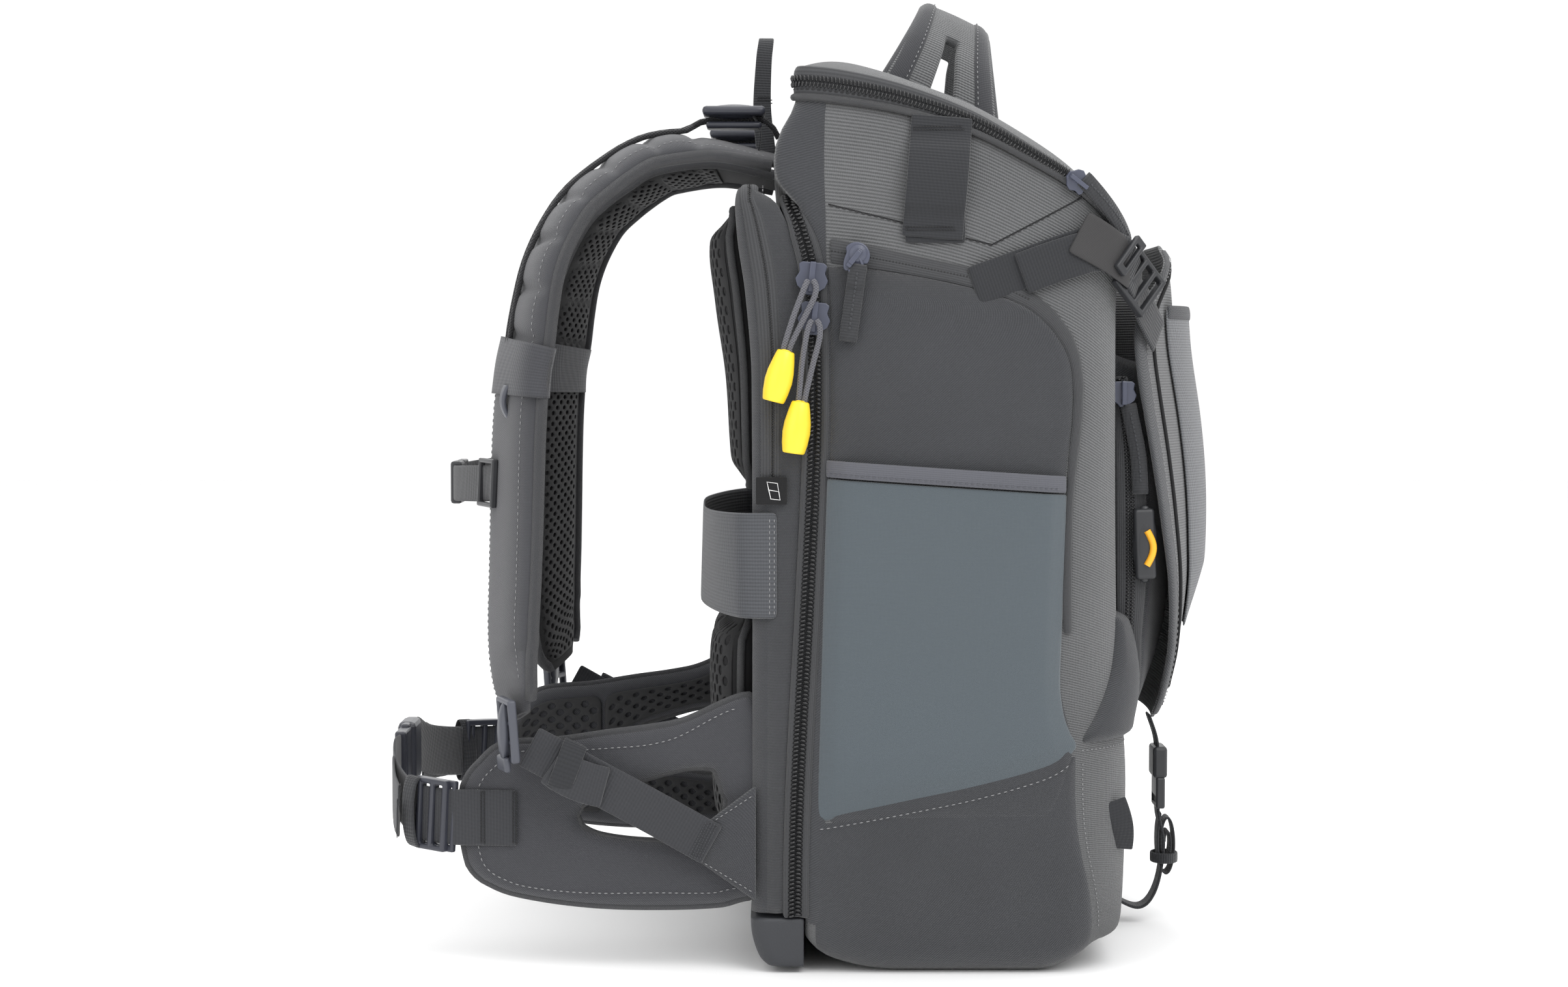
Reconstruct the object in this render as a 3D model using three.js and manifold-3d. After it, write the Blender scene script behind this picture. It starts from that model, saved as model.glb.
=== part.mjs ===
// A camera backpack, standing on its flat base. Millimetres, +Z up. The origin is the centre of
// the base on the floor, the flap side looks to -Y, the harness to +Y, the wearer's left is -X.
// Tables hold shares: heights of bagHeight, depths of bagDepth, widths of halfWidth.
import * as THREE from 'three';
import { mergeVertices } from 'three/addons/utils/BufferGeometryUtils.js';
import Module from 'manifold-3d';

const wasm = await Module();
wasm.setup();

// The bag
const bagHeight = 460; // floor to the rim at the back
const bagDepth = 200; // front face to the back of the laptop compartment
const halfWidth = 150; // to the sides, without panels and pockets
const cornerRadius = 34; // upright front corners
const rearCornerRadius = 5; // upright corners at the zip
const baseRadius = 14; // roll of the lower edge
const bodyWall = 7; // padded walls
const floorWall = 9; // padded floor
const rearFrame = 22; // rim of the body that the rear opening leaves
const lidRise = 30; // how far the lid domes over its rim
const lidWall = 4;
const gap = 0.4; // between pieces that touch
const lidGap = 0.8; // between the two rims
const seam = 0.7; // between cloth and a curved face that it is sewn to
// Zips and sliders
const coilWidth = 9.2; // band with the coil in the rear opening's zip
const coilProud = 1.6;
const zipBand = 12; // tape around the lid
const tapeThickness = 1.4;
const sliderLength = 17;
const sliderWidth = 11;
const sliderThickness = 4.6;
const pullLength = 42;
const pullWidth = 9.5;
const pullThickness = 3;
const cordDiameter = 3;
const cordDrop = 56; // slider to bead
const cordSplay = 5; // the two strands lie this far apart
const beadLength = 27;
const beadDiameter = 14.5;
// Rear of the bag
const compartmentWall = 2.4;
const compartmentInset = 3; // narrower than the body on each side
const compartmentCorner = 8;
const laptopBand = 8; // width of the zip tape round the laptop compartment
const backPadHalf = 114;
const backPadThickness = 18;
const lumbarHalf = 118;
const lumbarThickness = 23;
const bandHeight = 56; // elastic band for a trolley handle
const bandBow = 29; // how far the band stands off the compartment
const bandThickness = 1.6;
// Front and sides
const pocketHalf = 106;
const pocketWall = 2.4;
const flapThickness = 3;
const flapPocketHalf = 72;
const flapPocketDepth = 7; // room between the flap and its pocket
const sheetThickness = 1.6; // single cloth
const doorThickness = 2.4;
const stretchDepth = 5.4; // room in the side pocket
const loopWidth = 32; // webbing loop on the side
const loopBow = 6.4;
// Carrying
const handleHeight = 50; // over the lid
const handleSpan = 54; // half the distance between its feet
const handleFoot = 56;
const handleGrip = 35;
const handleThickness = 8;
const hangLoopHeight = 66;
const hangLoopHalf = 9;
const hangLoopWidth = 11;
const strapWidth = 68;
const strapThickness = 14;
const strapReach = 145; // from the laptop compartment to the straps' outer face
const strapSpread = 108; // centre of a strap from the middle of the bag
const strapRoll = 22; // degrees that the straps turn outwards
const sleeveHeight = 40;
const lifterDiameter = 4;
const lockLength = 34;
const lockWidth = 26;
const lockHeight = 12;
const webbing = 1.8;
const sternumWidth = 20;
const sternumBow = 24;
const sternumBuckle = [46, 11, 24];
const footWebbing = 24;
const ladderLock = [9, 6, 34];
const beltReach = 206; // from the laptop compartment to the front of the belt
const beltSpread = 134; // centre of a wing from the middle of the bag
const wingThickness = 11;
const beltWebbing = 30;
const hipBuckle = [56, 12, 36];
const hipAdjuster = [9, 30, 38];
const gussetThickness = 2.2;
const flapStrapWidth = 22;
const flapBuckle = [25, 8.6, 28];
const tripodWebbing = 15;
const tripodBuckle = [22, 8, 36];
const toggle = [11, 7, 38];

const X = share => share * halfWidth;
const Y = share => share * bagDepth;
const Z = share => share * bagHeight;

// Straight-line reading of a table of [place, value] rows.
function read(table, place) {
  let i = 1;
  while (i < table.length - 1 && place > table[i][0]) i++;
  const [a, b] = [table[i - 1], table[i]];
  const t = Math.min(1, Math.max(0, (place - a[0]) / (b[0] - a[0])));
  return a[1] + t * (b[1] - a[1]);
}

// A closed geometry from points and triangles, turned so that its faces point out.
function closed(points, triangles) {
  let volume = 0;
  for (const [a, b, c] of triangles) {
    const [p, q, r] = [points[a], points[b], points[c]].map(v => new THREE.Vector3(...v));
    volume += p.dot(q.cross(r));
  }
  const faces = volume < 0 ? triangles.map(([a, b, c]) => [a, c, b]) : triangles;
  const geometry = new THREE.BufferGeometry();
  geometry.setAttribute('position', new THREE.Float32BufferAttribute(points.flat(), 3));
  geometry.setIndex(faces.flat());
  return geometry;
}

// Skin over a row of rings with as many points each, and a fan over the first and the last,
// or, for a tube with a wall, from the last ring back to the first.
function loft(rings, round = false) {
  const n = rings[0].length;
  const points = rings.flat();
  const triangles = [];
  for (let k = 0; k < rings.length - (round ? 0 : 1); k++) {
    for (let i = 0; i < n; i++) {
      const [a, b, next] = [k * n + i, k * n + (i + 1) % n, ((k + 1) % rings.length - k) * n];
      triangles.push([a, b, b + next], [a, b + next, a + next]);
    }
  }
  if (round) return closed(points, triangles);
  for (const [ring, start, flip] of [[rings[0], 0, true], [rings.at(-1), points.length - n, false]]) {
    const middle = points.length;
    points.push([0, 1, 2].map(c => ring.reduce((sum, p) => sum + p[c], 0) / n));
    for (let i = 0; i < n; i++) {
      const [a, b] = [start + i, start + (i + 1) % n];
      triangles.push(flip ? [middle, b, a] : [middle, a, b]);
    }
  }
  return closed(points, triangles);
}

// A sheet with thickness: face(u, v, side) gives its point, u and v in 0..1, side 0 in and 1 out.
function sheet(columns, rows, face) {
  const points = [];
  const at = (i, j, side) => (side * (rows + 1) + j) * (columns + 1) + i;
  for (const side of [0, 1]) {
    for (let j = 0; j <= rows; j++) {
      for (let i = 0; i <= columns; i++) points.push(face(i / columns, j / rows, side));
    }
  }
  const triangles = [];
  const quad = (a, b, c, d) => triangles.push([a, b, c], [a, c, d]);
  for (let j = 0; j < rows; j++) {
    for (let i = 0; i < columns; i++) {
      quad(at(i, j, 1), at(i + 1, j, 1), at(i + 1, j + 1, 1), at(i, j + 1, 1));
      quad(at(i, j, 0), at(i, j + 1, 0), at(i + 1, j + 1, 0), at(i + 1, j, 0));
    }
  }
  for (let i = 0; i < columns; i++) {
    quad(at(i, 0, 0), at(i + 1, 0, 0), at(i + 1, 0, 1), at(i, 0, 1));
    quad(at(i, rows, 1), at(i + 1, rows, 1), at(i + 1, rows, 0), at(i, rows, 0));
  }
  for (let j = 0; j < rows; j++) {
    quad(at(0, j, 1), at(0, j + 1, 1), at(0, j + 1, 0), at(0, j, 0));
    quad(at(columns, j, 0), at(columns, j + 1, 0), at(columns, j + 1, 1), at(columns, j, 1));
  }
  return closed(points, triangles);
}

// Frames along a path: its points with the directions along, across and out of a strap's face.
// The side is one direction or one for each point, and so is the face, where that is given.
function frames(path, side, face) {
  const pick = (value, i) => new THREE.Vector3(...(Array.isArray(value[0]) ? value[i] : value));
  return path.map((point, i) => {
    const before = new THREE.Vector3(...path[Math.max(0, i - 1)]);
    const along = new THREE.Vector3(...path[Math.min(path.length - 1, i + 1)]).sub(before).normalize();
    const across = face ? new THREE.Vector3().crossVectors(pick(face, i), along) : pick(side, i);
    across.addScaledVector(along, -across.dot(along)).normalize();
    return { point: new THREE.Vector3(...point), along, across, out: new THREE.Vector3().crossVectors(along, across) };
  });
}
const place = ({ point, across, out }, a, o) => point.clone().addScaledVector(across, a).addScaledVector(out, o).toArray();
// A strap: a section of [across, out] points carried along such frames
const carry = (rails, section) => loft(rails.map((rail, i) =>
  (typeof section === 'function' ? section(i / (rails.length - 1)) : section).map(([a, o]) => place(rail, a, o))));
const strap = (path, side, section) => carry(frames(path, side), section);
const flat = (width, thickness) => [
  [-width / 2, -thickness / 2], [width / 2, -thickness / 2],
  [width / 2, thickness / 2], [-width / 2, thickness / 2],
];
const padded = (width, thickness, edge = 0.3) => [
  [-0.5, -edge], [-0.4, -0.5], [0, -0.5], [0.4, -0.5], [0.5, -edge],
  [0.5, edge], [0.4, 0.5], [0, 0.5], [-0.4, 0.5], [-0.5, edge],
].map(([a, o]) => [a * width, o * thickness]);

// Points along a smooth curve through the given ones.
function smooth(points, steps, round = false) {
  const curve = new THREE.CatmullRomCurve3(points.map(p => new THREE.Vector3(...p)), round, 'centripetal');
  return curve.getSpacedPoints(steps).map(p => p.toArray());
}

function solid(geometry) {
  const bare = geometry.clone();
  bare.deleteAttribute('normal');
  bare.deleteAttribute('uv');
  const merged = mergeVertices(bare, 1e-4);
  return new wasm.Manifold(new wasm.Mesh({
    numProp: 3,
    vertProperties: new Float32Array(merged.attributes.position.array),
    triVerts: new Uint32Array(merged.index.array),
  }));
}
function geometryOf(made) {
  const mesh = made.getMesh();
  const geometry = new THREE.BufferGeometry();
  geometry.setAttribute('position', new THREE.BufferAttribute(mesh.vertProperties, 3));
  geometry.setIndex(new THREE.BufferAttribute(mesh.triVerts, 1));
  return geometry;
}
const cut = (geometry, ...tools) => geometryOf(
  tools.reduce((left, tool) => left.subtract(solid(tool)), solid(geometry)));
const box = (size, centre) => new THREE.BoxGeometry(...size).translate(...centre);

const backpack = new THREE.Group();
const cloth = (color, roughness = 0.9) => new THREE.MeshStandardMaterial({ color, roughness, metalness: 0 });
const looks = {
  ribbed: cloth('#676a6c'),
  twill: cloth('#4b4d50'),
  stretch: cloth('#4f5a61'),
  mesh: cloth('#222325', 0.95),
  webbing: cloth('#454648'),
  zip: cloth('#1d1e20', 0.6),
  hardware: cloth('#565b66', 0.45),
  buckle: cloth('#26272a', 0.45),
  bead: cloth('#f3d81f', 0.5),
  trim: cloth('#303236', 0.6),
};
function piece(name, geometry, look) {
  const mesh = new THREE.Mesh(geometry, looks[look]);
  mesh.name = name;
  backpack.add(mesh);
  return mesh;
}
// The same piece on both sides: made on the wearer's left (-X) and mirrored to the right.
function pair(name, geometry, look) {
  piece(`${name}_left`, geometry, look);
  piece(`${name}_right`, geometry.clone(), look).scale.set(-1, 1, 1);
}

// Form of the bag: half width, rear face, front face and the swell of the front, by height
const widthTable = [[0, 0.95], [0.12, 0.985], [0.35, 1], [0.62, 1], [0.85, 0.975], [1, 0.95], [1.1, 0.93]];
const rearTable = [[0, 0.345], [0.19, 0.34], [0.45, 0.31], [0.6, 0.295], [0.75, 0.295], [0.82, 0.31],
  [0.88, 0.365], [0.905, 0.42], [0.95, 0.42], [1, 0.37]];
const frontTable = [[0, -0.49], [0.05, -0.505], [0.25, -0.51], [0.3, -0.49], [0.76, -0.48], [0.86, -0.5]];
const swellTable = [[0, 0.02], [0.2, 0.045], [0.3, 0.03], [0.77, 0.03], [0.84, 0.11]];
// Height of the rim by depth: it falls towards the front
const rimTable = [[-0.66, 0.79], [-0.56, 0.8], [-0.515, 0.83], [-0.45, 0.863], [-0.37, 0.894], [-0.27, 0.921],
  [-0.1, 0.959], [0.07, 0.982], [0.2, 0.993], [0.37, 1]];
const rim = y => Z(read(rimTable, y / bagDepth));

function profile(z, inset = 0) {
  const t = z / bagHeight;
  const roll = z < baseRadius ? baseRadius - Math.sqrt(baseRadius ** 2 - (baseRadius - z) ** 2) : 0;
  return {
    half: X(read(widthTable, t)) - roll - inset,
    front: Y(read(frontTable, t)) + roll + inset,
    rear: Y(read(rearTable, t)) - roll - inset,
    frontCorner: Math.max(cornerRadius - inset, 4),
    rearCorner: Math.max(rearCornerRadius - inset / 2, 4),
    swell: Y(read(swellTable, t)),
  };
}
// Outline of the bag at a height, from the middle of the front round the right to the rear
function halfOutline({ half, front, rear, frontCorner, rearCorner, swell }) {
  const points = [];
  const edge = half - frontCorner;
  for (const s of [0, 0.35, 0.7]) points.push([s * edge, front - swell * (1 - s * s)]);
  for (let i = 0; i <= 4; i++) {
    const a = i * Math.PI / 8;
    points.push([edge + frontCorner * Math.sin(a), front + frontCorner * (1 - Math.cos(a))]);
  }
  const [from, to] = [front + frontCorner, rear - rearCorner];
  for (let i = 1; i <= 6; i++) points.push([half, from + (to - from) * i / 7]);
  for (let i = 0; i <= 2; i++) {
    const a = i * Math.PI / 4;
    points.push([half - rearCorner * (1 - Math.cos(a)), to + rearCorner * Math.sin(a)]);
  }
  points.push([half * 0.5, rear]);
  return points;
}
// A ring round the bag whose height follows the given function of the depth
function ring(heightAt, inset = 0) {
  const flatRing = halfOutline(profile(heightAt(0), inset));
  const half = flatRing.map(([, y], i) => {
    let point = [0, y];
    for (let pass = 0; pass < 4; pass++) point = halfOutline(profile(heightAt(point[1]), inset))[i];
    return [...point, heightAt(point[1])];
  });
  const [first, last] = [half[0], half.at(-1)];
  const middle = [0, last[1], last[2]];
  return [...half, middle, ...half.slice(1).reverse().map(([x, y, z]) => [-x, y, z])];
}
// Surface of the bag's left side and of its front
function sideX(y, z) {
  const { half, front, rear, frontCorner, rearCorner } = profile(z);
  const dip = (over, radius) => over > 0 ? radius - Math.sqrt(Math.max(0, radius ** 2 - Math.min(over, radius) ** 2)) : 0;
  return half - dip(front + frontCorner - y, frontCorner) - dip(y - rear + rearCorner, rearCorner);
}
function frontY(x, z) {
  const { half, front, frontCorner, swell } = profile(z);
  const edge = half - frontCorner;
  if (Math.abs(x) <= edge) return front - swell * (1 - (x / edge) ** 2);
  return front + frontCorner - Math.sqrt(Math.max(0, frontCorner ** 2 - (Math.abs(x) - edge) ** 2));
}

// A place off the left front corner: angle 0 looks to the side, 90 to the front
function offCorner(degrees, z, off) {
  const { half, front, frontCorner } = profile(z);
  const a = THREE.MathUtils.degToRad(degrees);
  const reach = frontCorner + off;
  return [frontCorner - half - reach * Math.cos(a), front + frontCorner - reach * Math.sin(a), z];
}

// Body: a padded tub, open under the lid and behind, where the laptop compartment is its door
{
  const levels = [0, 0.004, 0.012, 0.03, 0.07, 0.15, 0.25, 0.35, 0.5, 0.62, 0.74, 0.82, 0.88, 0.91, 0.95, 1];
  const outer = levels.map(t => ring(y => t * rim(y)));
  const inner = [1, 0.95, 0.9, 0.82, 0.62, 0.35, 0.15].map(t => ring(y => t * rim(y), bodyWall));
  inner.push(ring(() => floorWall, bodyWall));
  const door = profile(Z(0.5));
  const opening = box([2 * (door.half - rearFrame), 4 * bodyWall, Z(0.82) - 2 * rearFrame],
    [0, door.rear, Z(0.41) + rearFrame / 2]);
  piece('main_body', cut(loft([...outer, ...inner]), opening), 'ribbed');
}

// Lid: a padded dome over the rim
{
  const middleY = Y(-0.02);
  const dome = (k, inset, drop) => ring(y => rim(y) + lidGap, inset).map(([x, y, z]) => {
    const shrunk = [x * (1 - k), middleY + (y - middleY) * (1 - k)];
    const rise = (lidRise - drop) * (1 - (1 - k) ** 3);
    return [...shrunk, rim(shrunk[1]) + lidGap + rise];
  });
  const steps = [0, 0.04, 0.1, 0.2, 0.35, 0.55, 0.8];
  const outer = steps.map(k => dome(k, 0, 0)).reverse();
  const inner = steps.map(k => dome(k, lidWall, lidWall));
  piece('top_lid', loft([...outer, ...inner]), 'ribbed');
}
// Height of the lid over a place, for what is sewn to it
function lidZ(x, y) {
  const middleY = Y(-0.02);
  const outline = ring(v => rim(v) + lidGap);
  let k = 0;
  const angle = Math.atan2(x, y - middleY);
  let reach = Infinity;
  outline.forEach(([ax, ay], i) => {
    const [bx, by] = outline[(i + 1) % outline.length];
    const [ux, uy] = [Math.sin(angle), Math.cos(angle)];
    const [dx, dy] = [bx - ax, by - ay];
    const det = ux * dy - uy * dx;
    if (Math.abs(det) < 1e-9) return;
    const t = (ax * dy - (ay - middleY) * dx) / det;
    const s = (ax * uy - (ay - middleY) * ux) / det;
    if (t > 0 && s >= -1e-6 && s <= 1 + 1e-6) reach = Math.min(reach, t);
  });
  k = 1 - Math.hypot(x, y - middleY) / reach;
  return rim(y) + lidGap + lidRise * (1 - (1 - Math.max(0, Math.min(0.8, k))) ** 3);
}

// Zip round the rim, from one rear corner over the front to the other
{
  const rings = [-0.62, 0.38].map(share => ring(y => rim(y) + gap / 2 + share * zipBand));
  const shorten = points => {
    const n = points.length;
    const half = (n - 1) / 2;
    return [...points.slice(half + 3), ...points.slice(0, half - 1)];
  };
  const [low, high] = rings.map(shorten);
  const push = ([x, y, z], i, list, off) => {
    const [a, b] = [list[Math.max(0, i - 1)], list[Math.min(list.length - 1, i + 1)]];
    const normal = new THREE.Vector2(b[1] - a[1], a[0] - b[0]).normalize();
    return [x + normal.x * off, y + normal.y * off, z];
  };
  const columns = low.length - 1;
  piece('lid_zip', sheet(columns, 1, (u, v, side) => {
    const list = v ? high : low;
    const i = Math.round(u * columns);
    return push(list[i], i, list, side ? gap + tapeThickness + 1 : gap + 0.5);
  }), 'zip');
}

// Laptop compartment: the door of the bag, a sleeve open along its top, closed below by the trim
const compartmentTop = Z(0.9);
const compartmentBack = [[0, 0.485], [0.68, 0.485], [0.78, 0.502], [0.84, 0.522], [0.9, 0.53]];
const compartmentRear = z => Y(read(compartmentBack, z / bagHeight));
const trimTop = Z(0.065);
const compartmentFront = z => profile(z).rear + coilWidth + 2 * seam;
const compartmentHalf = z => profile(z).half - compartmentInset;
const doorLevels = [0.07, 0.1, 0.19, 0.3, 0.45, 0.56, 0.6, 0.68, 0.75, 0.78, 0.82, 0.84, 0.86].map(Z);
{
  const outline = (z, inset, frontInset, top = 0) => {
    const half = compartmentHalf(z) - inset - top;
    const [front, rear] = [compartmentFront(z) + frontInset, compartmentRear(z) - inset];
    const corner = Math.max(compartmentCorner - inset, 3);
    const points = [[-half, front], [half, front]];
    for (const a of [0, 45, 90]) {
      const r = THREE.MathUtils.degToRad(a);
      points.push([half - corner * (1 - Math.cos(r)), rear - corner * (1 - Math.sin(r))]);
    }
    for (const a of [90, 45, 0]) {
      const r = THREE.MathUtils.degToRad(a);
      points.push([-half + corner * (1 - Math.cos(r)), rear - corner * (1 - Math.sin(r))]);
    }
    return points.map(([x, y]) => [x, y, z]);
  };
  const outer = [trimTop + gap, ...doorLevels].map(z => outline(z, 0, 0, 0));
  outer.push(outline(Z(0.88), 0, 4, 0.5), outline(compartmentTop - 3, 0, -2, 3), outline(compartmentTop, 0, -5, 8));
  const w = compartmentWall;
  const inner = [outline(compartmentTop, w, w - 4.6, 8), outline(Z(0.88), w, 4 + w, 0.5), ...doorLevels.slice(1).reverse().map(z => outline(z, w, w, 0))];
  inner.push(outline(trimTop + gap, w, w, 0));
  piece('laptop_compartment', loft([...outer, ...inner], true), 'twill');
}

// Coated trim that carries the compartment on the floor behind the body and is its floor inside
{
  const front = () => Y(read(rearTable, 0)) + gap;
  const rear = [[0, 0.43], [0.016, 0.46], [0.04, 0.48], [0.065, 0.485]];
  const rings = rear.map(([t, y]) => {
    const [z, half] = [Z(t), profile(Z(t)).half - compartmentInset];
    return [[-half, front(z), z], [half, front(z), z], [half, Y(y) - 10, z], [half - 8, Y(y), z],
      [8 - half, Y(y), z], [-half, Y(y) - 10, z]];
  });
  const inset = compartmentWall + 1;
  const [half, near, far] = [compartmentHalf(trimTop) - inset, compartmentFront(trimTop) + inset, compartmentRear(trimTop) - inset];
  for (const z of [trimTop, trimTop + compartmentWall]) {
    rings.push([[-half, near, z], [half, near, z], [half, far - 7, z], [half - 7, far, z], [7 - half, far, z], [-half, far - 7, z]]);
  }
  piece('base_trim', loft(rings), 'trim');
}

// Zip of the rear opening, up one side, over the top and down the other
const zipFoot = trimTop + gap;
const zipTop = Z(0.888);
const zipHalf = z => profile(z).half - compartmentInset / 2;
const zipDepth = 6; // how deep the band sits between body and door
{
  // across 0..1 from the body to the door, out from the band's face
  const section = [[0, -zipDepth], [1, -zipDepth], [1, 0], [0.75, coilProud], [0.25, coilProud], [0, 0]];
  const legs = [...doorLevels.filter(z => z > zipFoot + 1 && z < zipTop - 16)];
  const left = [zipFoot, ...legs, zipTop - 14].map(z => section.map(([a, o]) =>
    [-zipHalf(z) - o, profile(z).rear + seam + a * coilWidth, z]));
  const [high, low] = [profile(zipTop + coilProud).rear + seam, profile(zipTop - zipDepth).rear + seam];
  const top = x => section.map(([a, o]) =>
    [x, (o > -zipDepth ? high : low) + a * (coilWidth - (o > -zipDepth ? 1.5 : 0)), zipTop + o]);
  const half = zipHalf(zipTop);
  const corner = section.map(([a, o]) => {
    const [x, z] = [-half + 4 - 0.7 * o, zipTop - 4 + 0.7 * o];
    return [x - 1.4 * (o > -zipDepth ? o : 0), profile(Math.max(z, zipTop - 8)).rear + seam + 0.9 + a * (coilWidth - 1.2), z];
  });
  const path = [...left, corner, top(-half + 16), top(-half / 2), top(0)];
  const mirrored = path.slice(0, -1).reverse().map(ring => ring.map(([x, y, z]) => [-x, y, z]));
  piece('main_zip', loft([...path, ...mirrored]), 'zip');
}
// Zip tape that closes the laptop compartment, over its top and down both sides
const laptopZipFoot = Z(0.56);
{
  const depth = z => compartmentRear(z) - compartmentCorner / 2 - laptopBand / 2;
  const y = depth(compartmentTop);
  const out = gap + tapeThickness / 2;
  const side = [laptopZipFoot, ...doorLevels.filter(z => z > laptopZipFoot)];
  const left = side.map(z => [-compartmentHalf(z) - out, depth(z), z]);
  const half = compartmentHalf(compartmentTop);
  left.push([-compartmentHalf(Z(0.88)) - out, depth(Z(0.88)), Z(0.88)], [2.4 - half - out, y, compartmentTop - 2 + out],
    [8 - half, y, compartmentTop + out + 0.4],
    [20 - half, y, compartmentTop + out], [-half / 2, y, compartmentTop + out]);
  const path = [...left, ...left.map(([x, yy, z]) => [-x, yy, z]).reverse()];
  piece('laptop_zip', strap(path, [0, 1, 0], flat(laptopBand, tapeThickness)), 'zip');
}

// Mesh back pad and lumbar pad on the compartment
function pad(name, zLow, zHigh, half, thickness, table) {
  piece(name, sheet(10, 12, (u, v, side) => {
    const across = 2 * u - 1;
    const z = zLow + v * (zHigh - zLow);
    const round = 1 - 0.12 * Math.max(0, Math.abs(v - 0.5) * 2 - 0.7) / 0.3;
    const full = read(table, v) * (1 - 0.55 * Math.abs(across) ** 6);
    return [across * half * round, compartmentRear(z) + seam + (side ? thickness * full : 0), z];
  }), 'mesh');
}
pad('back_pad', Z(0.555), Z(0.878), backPadHalf, backPadThickness,
  [[0, 0.4], [0.08, 0.62], [0.35, 0.76], [0.65, 0.95], [0.9, 0.85], [1, 0.35]]);
const lumbarTop = Z(0.405);
pad('lumbar_pad', Z(0.135), lumbarTop, lumbarHalf, lumbarThickness,
  [[0, 0.5], [0.12, 0.9], [0.5, 1], [0.88, 1], [1, 0.6]]);

// Elastic band across the back for a trolley handle, sewn to both sides of the compartment
const bandFoot = lumbarTop + 2;
{
  const z = bandFoot + bandHeight / 2;
  const side = compartmentHalf(z) + seam + bandThickness / 2;
  const back = compartmentRear(z);
  const left = [[-side, back - compartmentCorner - 5], [-side, back - 2],
    [-side + 6, back + bandBow * 0.28], [-side * 0.75, back + bandBow * 0.68],
    [-side * 0.4, back + bandBow * 0.95], [0, back + bandBow]];
  const path = [...left, ...left.slice(0, -1).reverse().map(([x, y]) => [-x, y])];
  piece('trolley_band', strap(path.map(([x, y]) => [x, y, z]), [0, 0, 1],
    flat(bandHeight, bandThickness)), 'webbing');
}

// Front pocket: a domed shell on the front of the body, open towards it
const swollen = (edge, middle, u, v) => {
  const [side, centre] = [Y(read(edge, v)), Y(read(middle, v))];
  return side + (centre - side) * (1 - Math.min(1, Math.abs(u)) ** 2.2);
};
const pocketLow = Z(0.27);
const pocketHigh = Z(0.715);
const pocketEdge = [[0, -0.525], [0.12, -0.555], [0.25, -0.56], [0.4, -0.57], [0.7, -0.565], [0.85, -0.537],
  [1, -0.508]];
const pocketMiddle = [[0, -0.585], [0.22, -0.665], [0.37, -0.69], [0.5, -0.69], [0.7, -0.685], [0.85, -0.67],
  [0.96, -0.61], [1, -0.56]];
const domeY = (x, z) => swollen(pocketEdge, pocketMiddle, x / pocketHalf, (z - pocketLow) / (pocketHigh - pocketLow));
{
  const outline = (inset, radius = 26) => {
    const [w, low, high, r] = [pocketHalf - inset, pocketLow + inset, pocketHigh - inset, radius - inset];
    const points = [];
    [[w - r, high - r], [r - w, high - r], [r - w, low + r], [w - r, low + r]].forEach(([cx, cz], corner) => {
      for (const a of [0, 30, 60, 90]) {
        const angle = THREE.MathUtils.degToRad(90 * corner + a);
        points.push([cx + r * Math.cos(angle), cz + r * Math.sin(angle)]);
      }
      const [ex, ez] = points.at(-1);
      const [dx, dz] = [[-1, 0], [0, -1], [1, 0], [0, 1]][corner];
      const length = dx ? 2 * (w - r) : high - low - 2 * r;
      for (const t of [0.25, 0.5, 0.75]) points.push([ex + dx * length * t, ez + dz * length * t]);
    });
    return points;
  };
  const centre = (pocketLow + pocketHigh) / 2;
  const shrunk = (points, k) => points.map(([x, z]) => [x * (1 - k), centre + (z - centre) * (1 - k)]);
  const seat = points => points.map(([x, z]) => [x, frontY(x, z) - gap, z]);
  const steps = [0.8, 0.6, 0.4, 0.2, 0.08, 0.01];
  const outer = steps.map(k => shrunk(outline(0), k).map(([x, z]) => [x, domeY(x, z), z]));
  const inner = steps.map(k => shrunk(outline(pocketWall), k).map(([x, z]) =>
    [x, Math.min(domeY(x, z) + pocketWall, frontY(x, z) - 2 * gap), z])).reverse();
  piece('front_pocket', loft([...outer, seat(outline(0)), seat(outline(pocketWall)), ...inner]), 'twill');
}

// Flap over the front pocket: narrow at its lower tip, free above the pocket
const flapLow = Z(0.268);
const flapHigh = Z(0.845);
const flapHalfTable = [[0, 0.34], [0.04, 0.5], [0.12, 0.64], [0.3, 0.74], [0.6, 0.76], [0.8, 0.73], [0.88, 0.66],
  [0.95, 0.5], [1, 0.2]];
const flapHalf = v => X(read(flapHalfTable, v));
const flapWide = flapHalf(0.6);
const flapEdge = [[0, -0.56], [0.035, -0.57], [0.1, -0.6], [0.165, -0.622], [0.3, -0.63], [0.43, -0.612],
  [0.56, -0.585], [0.69, -0.553], [0.8, -0.527], [0.87, -0.53], [0.93, -0.58], [1, -0.645]];
const flapMiddle = [[0, -0.645], [0.07, -0.68], [0.18, -0.715], [0.3, -0.741], [0.41, -0.75], [0.52, -0.748],
  [0.63, -0.735], [0.77, -0.708], [0.91, -0.69], [1, -0.655]];
const flapY = (u, v) => swollen(flapEdge, flapMiddle, u, v);
piece('front_flap', sheet(12, 20, (u, v, side) => {
  const across = 2 * u - 1;
  const x = across * flapHalf(v);
  return [x, flapY(x / flapWide, v) + (side ? 0 : flapThickness), flapLow + v * (flapHigh - flapLow)];
}), 'ribbed');

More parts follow.
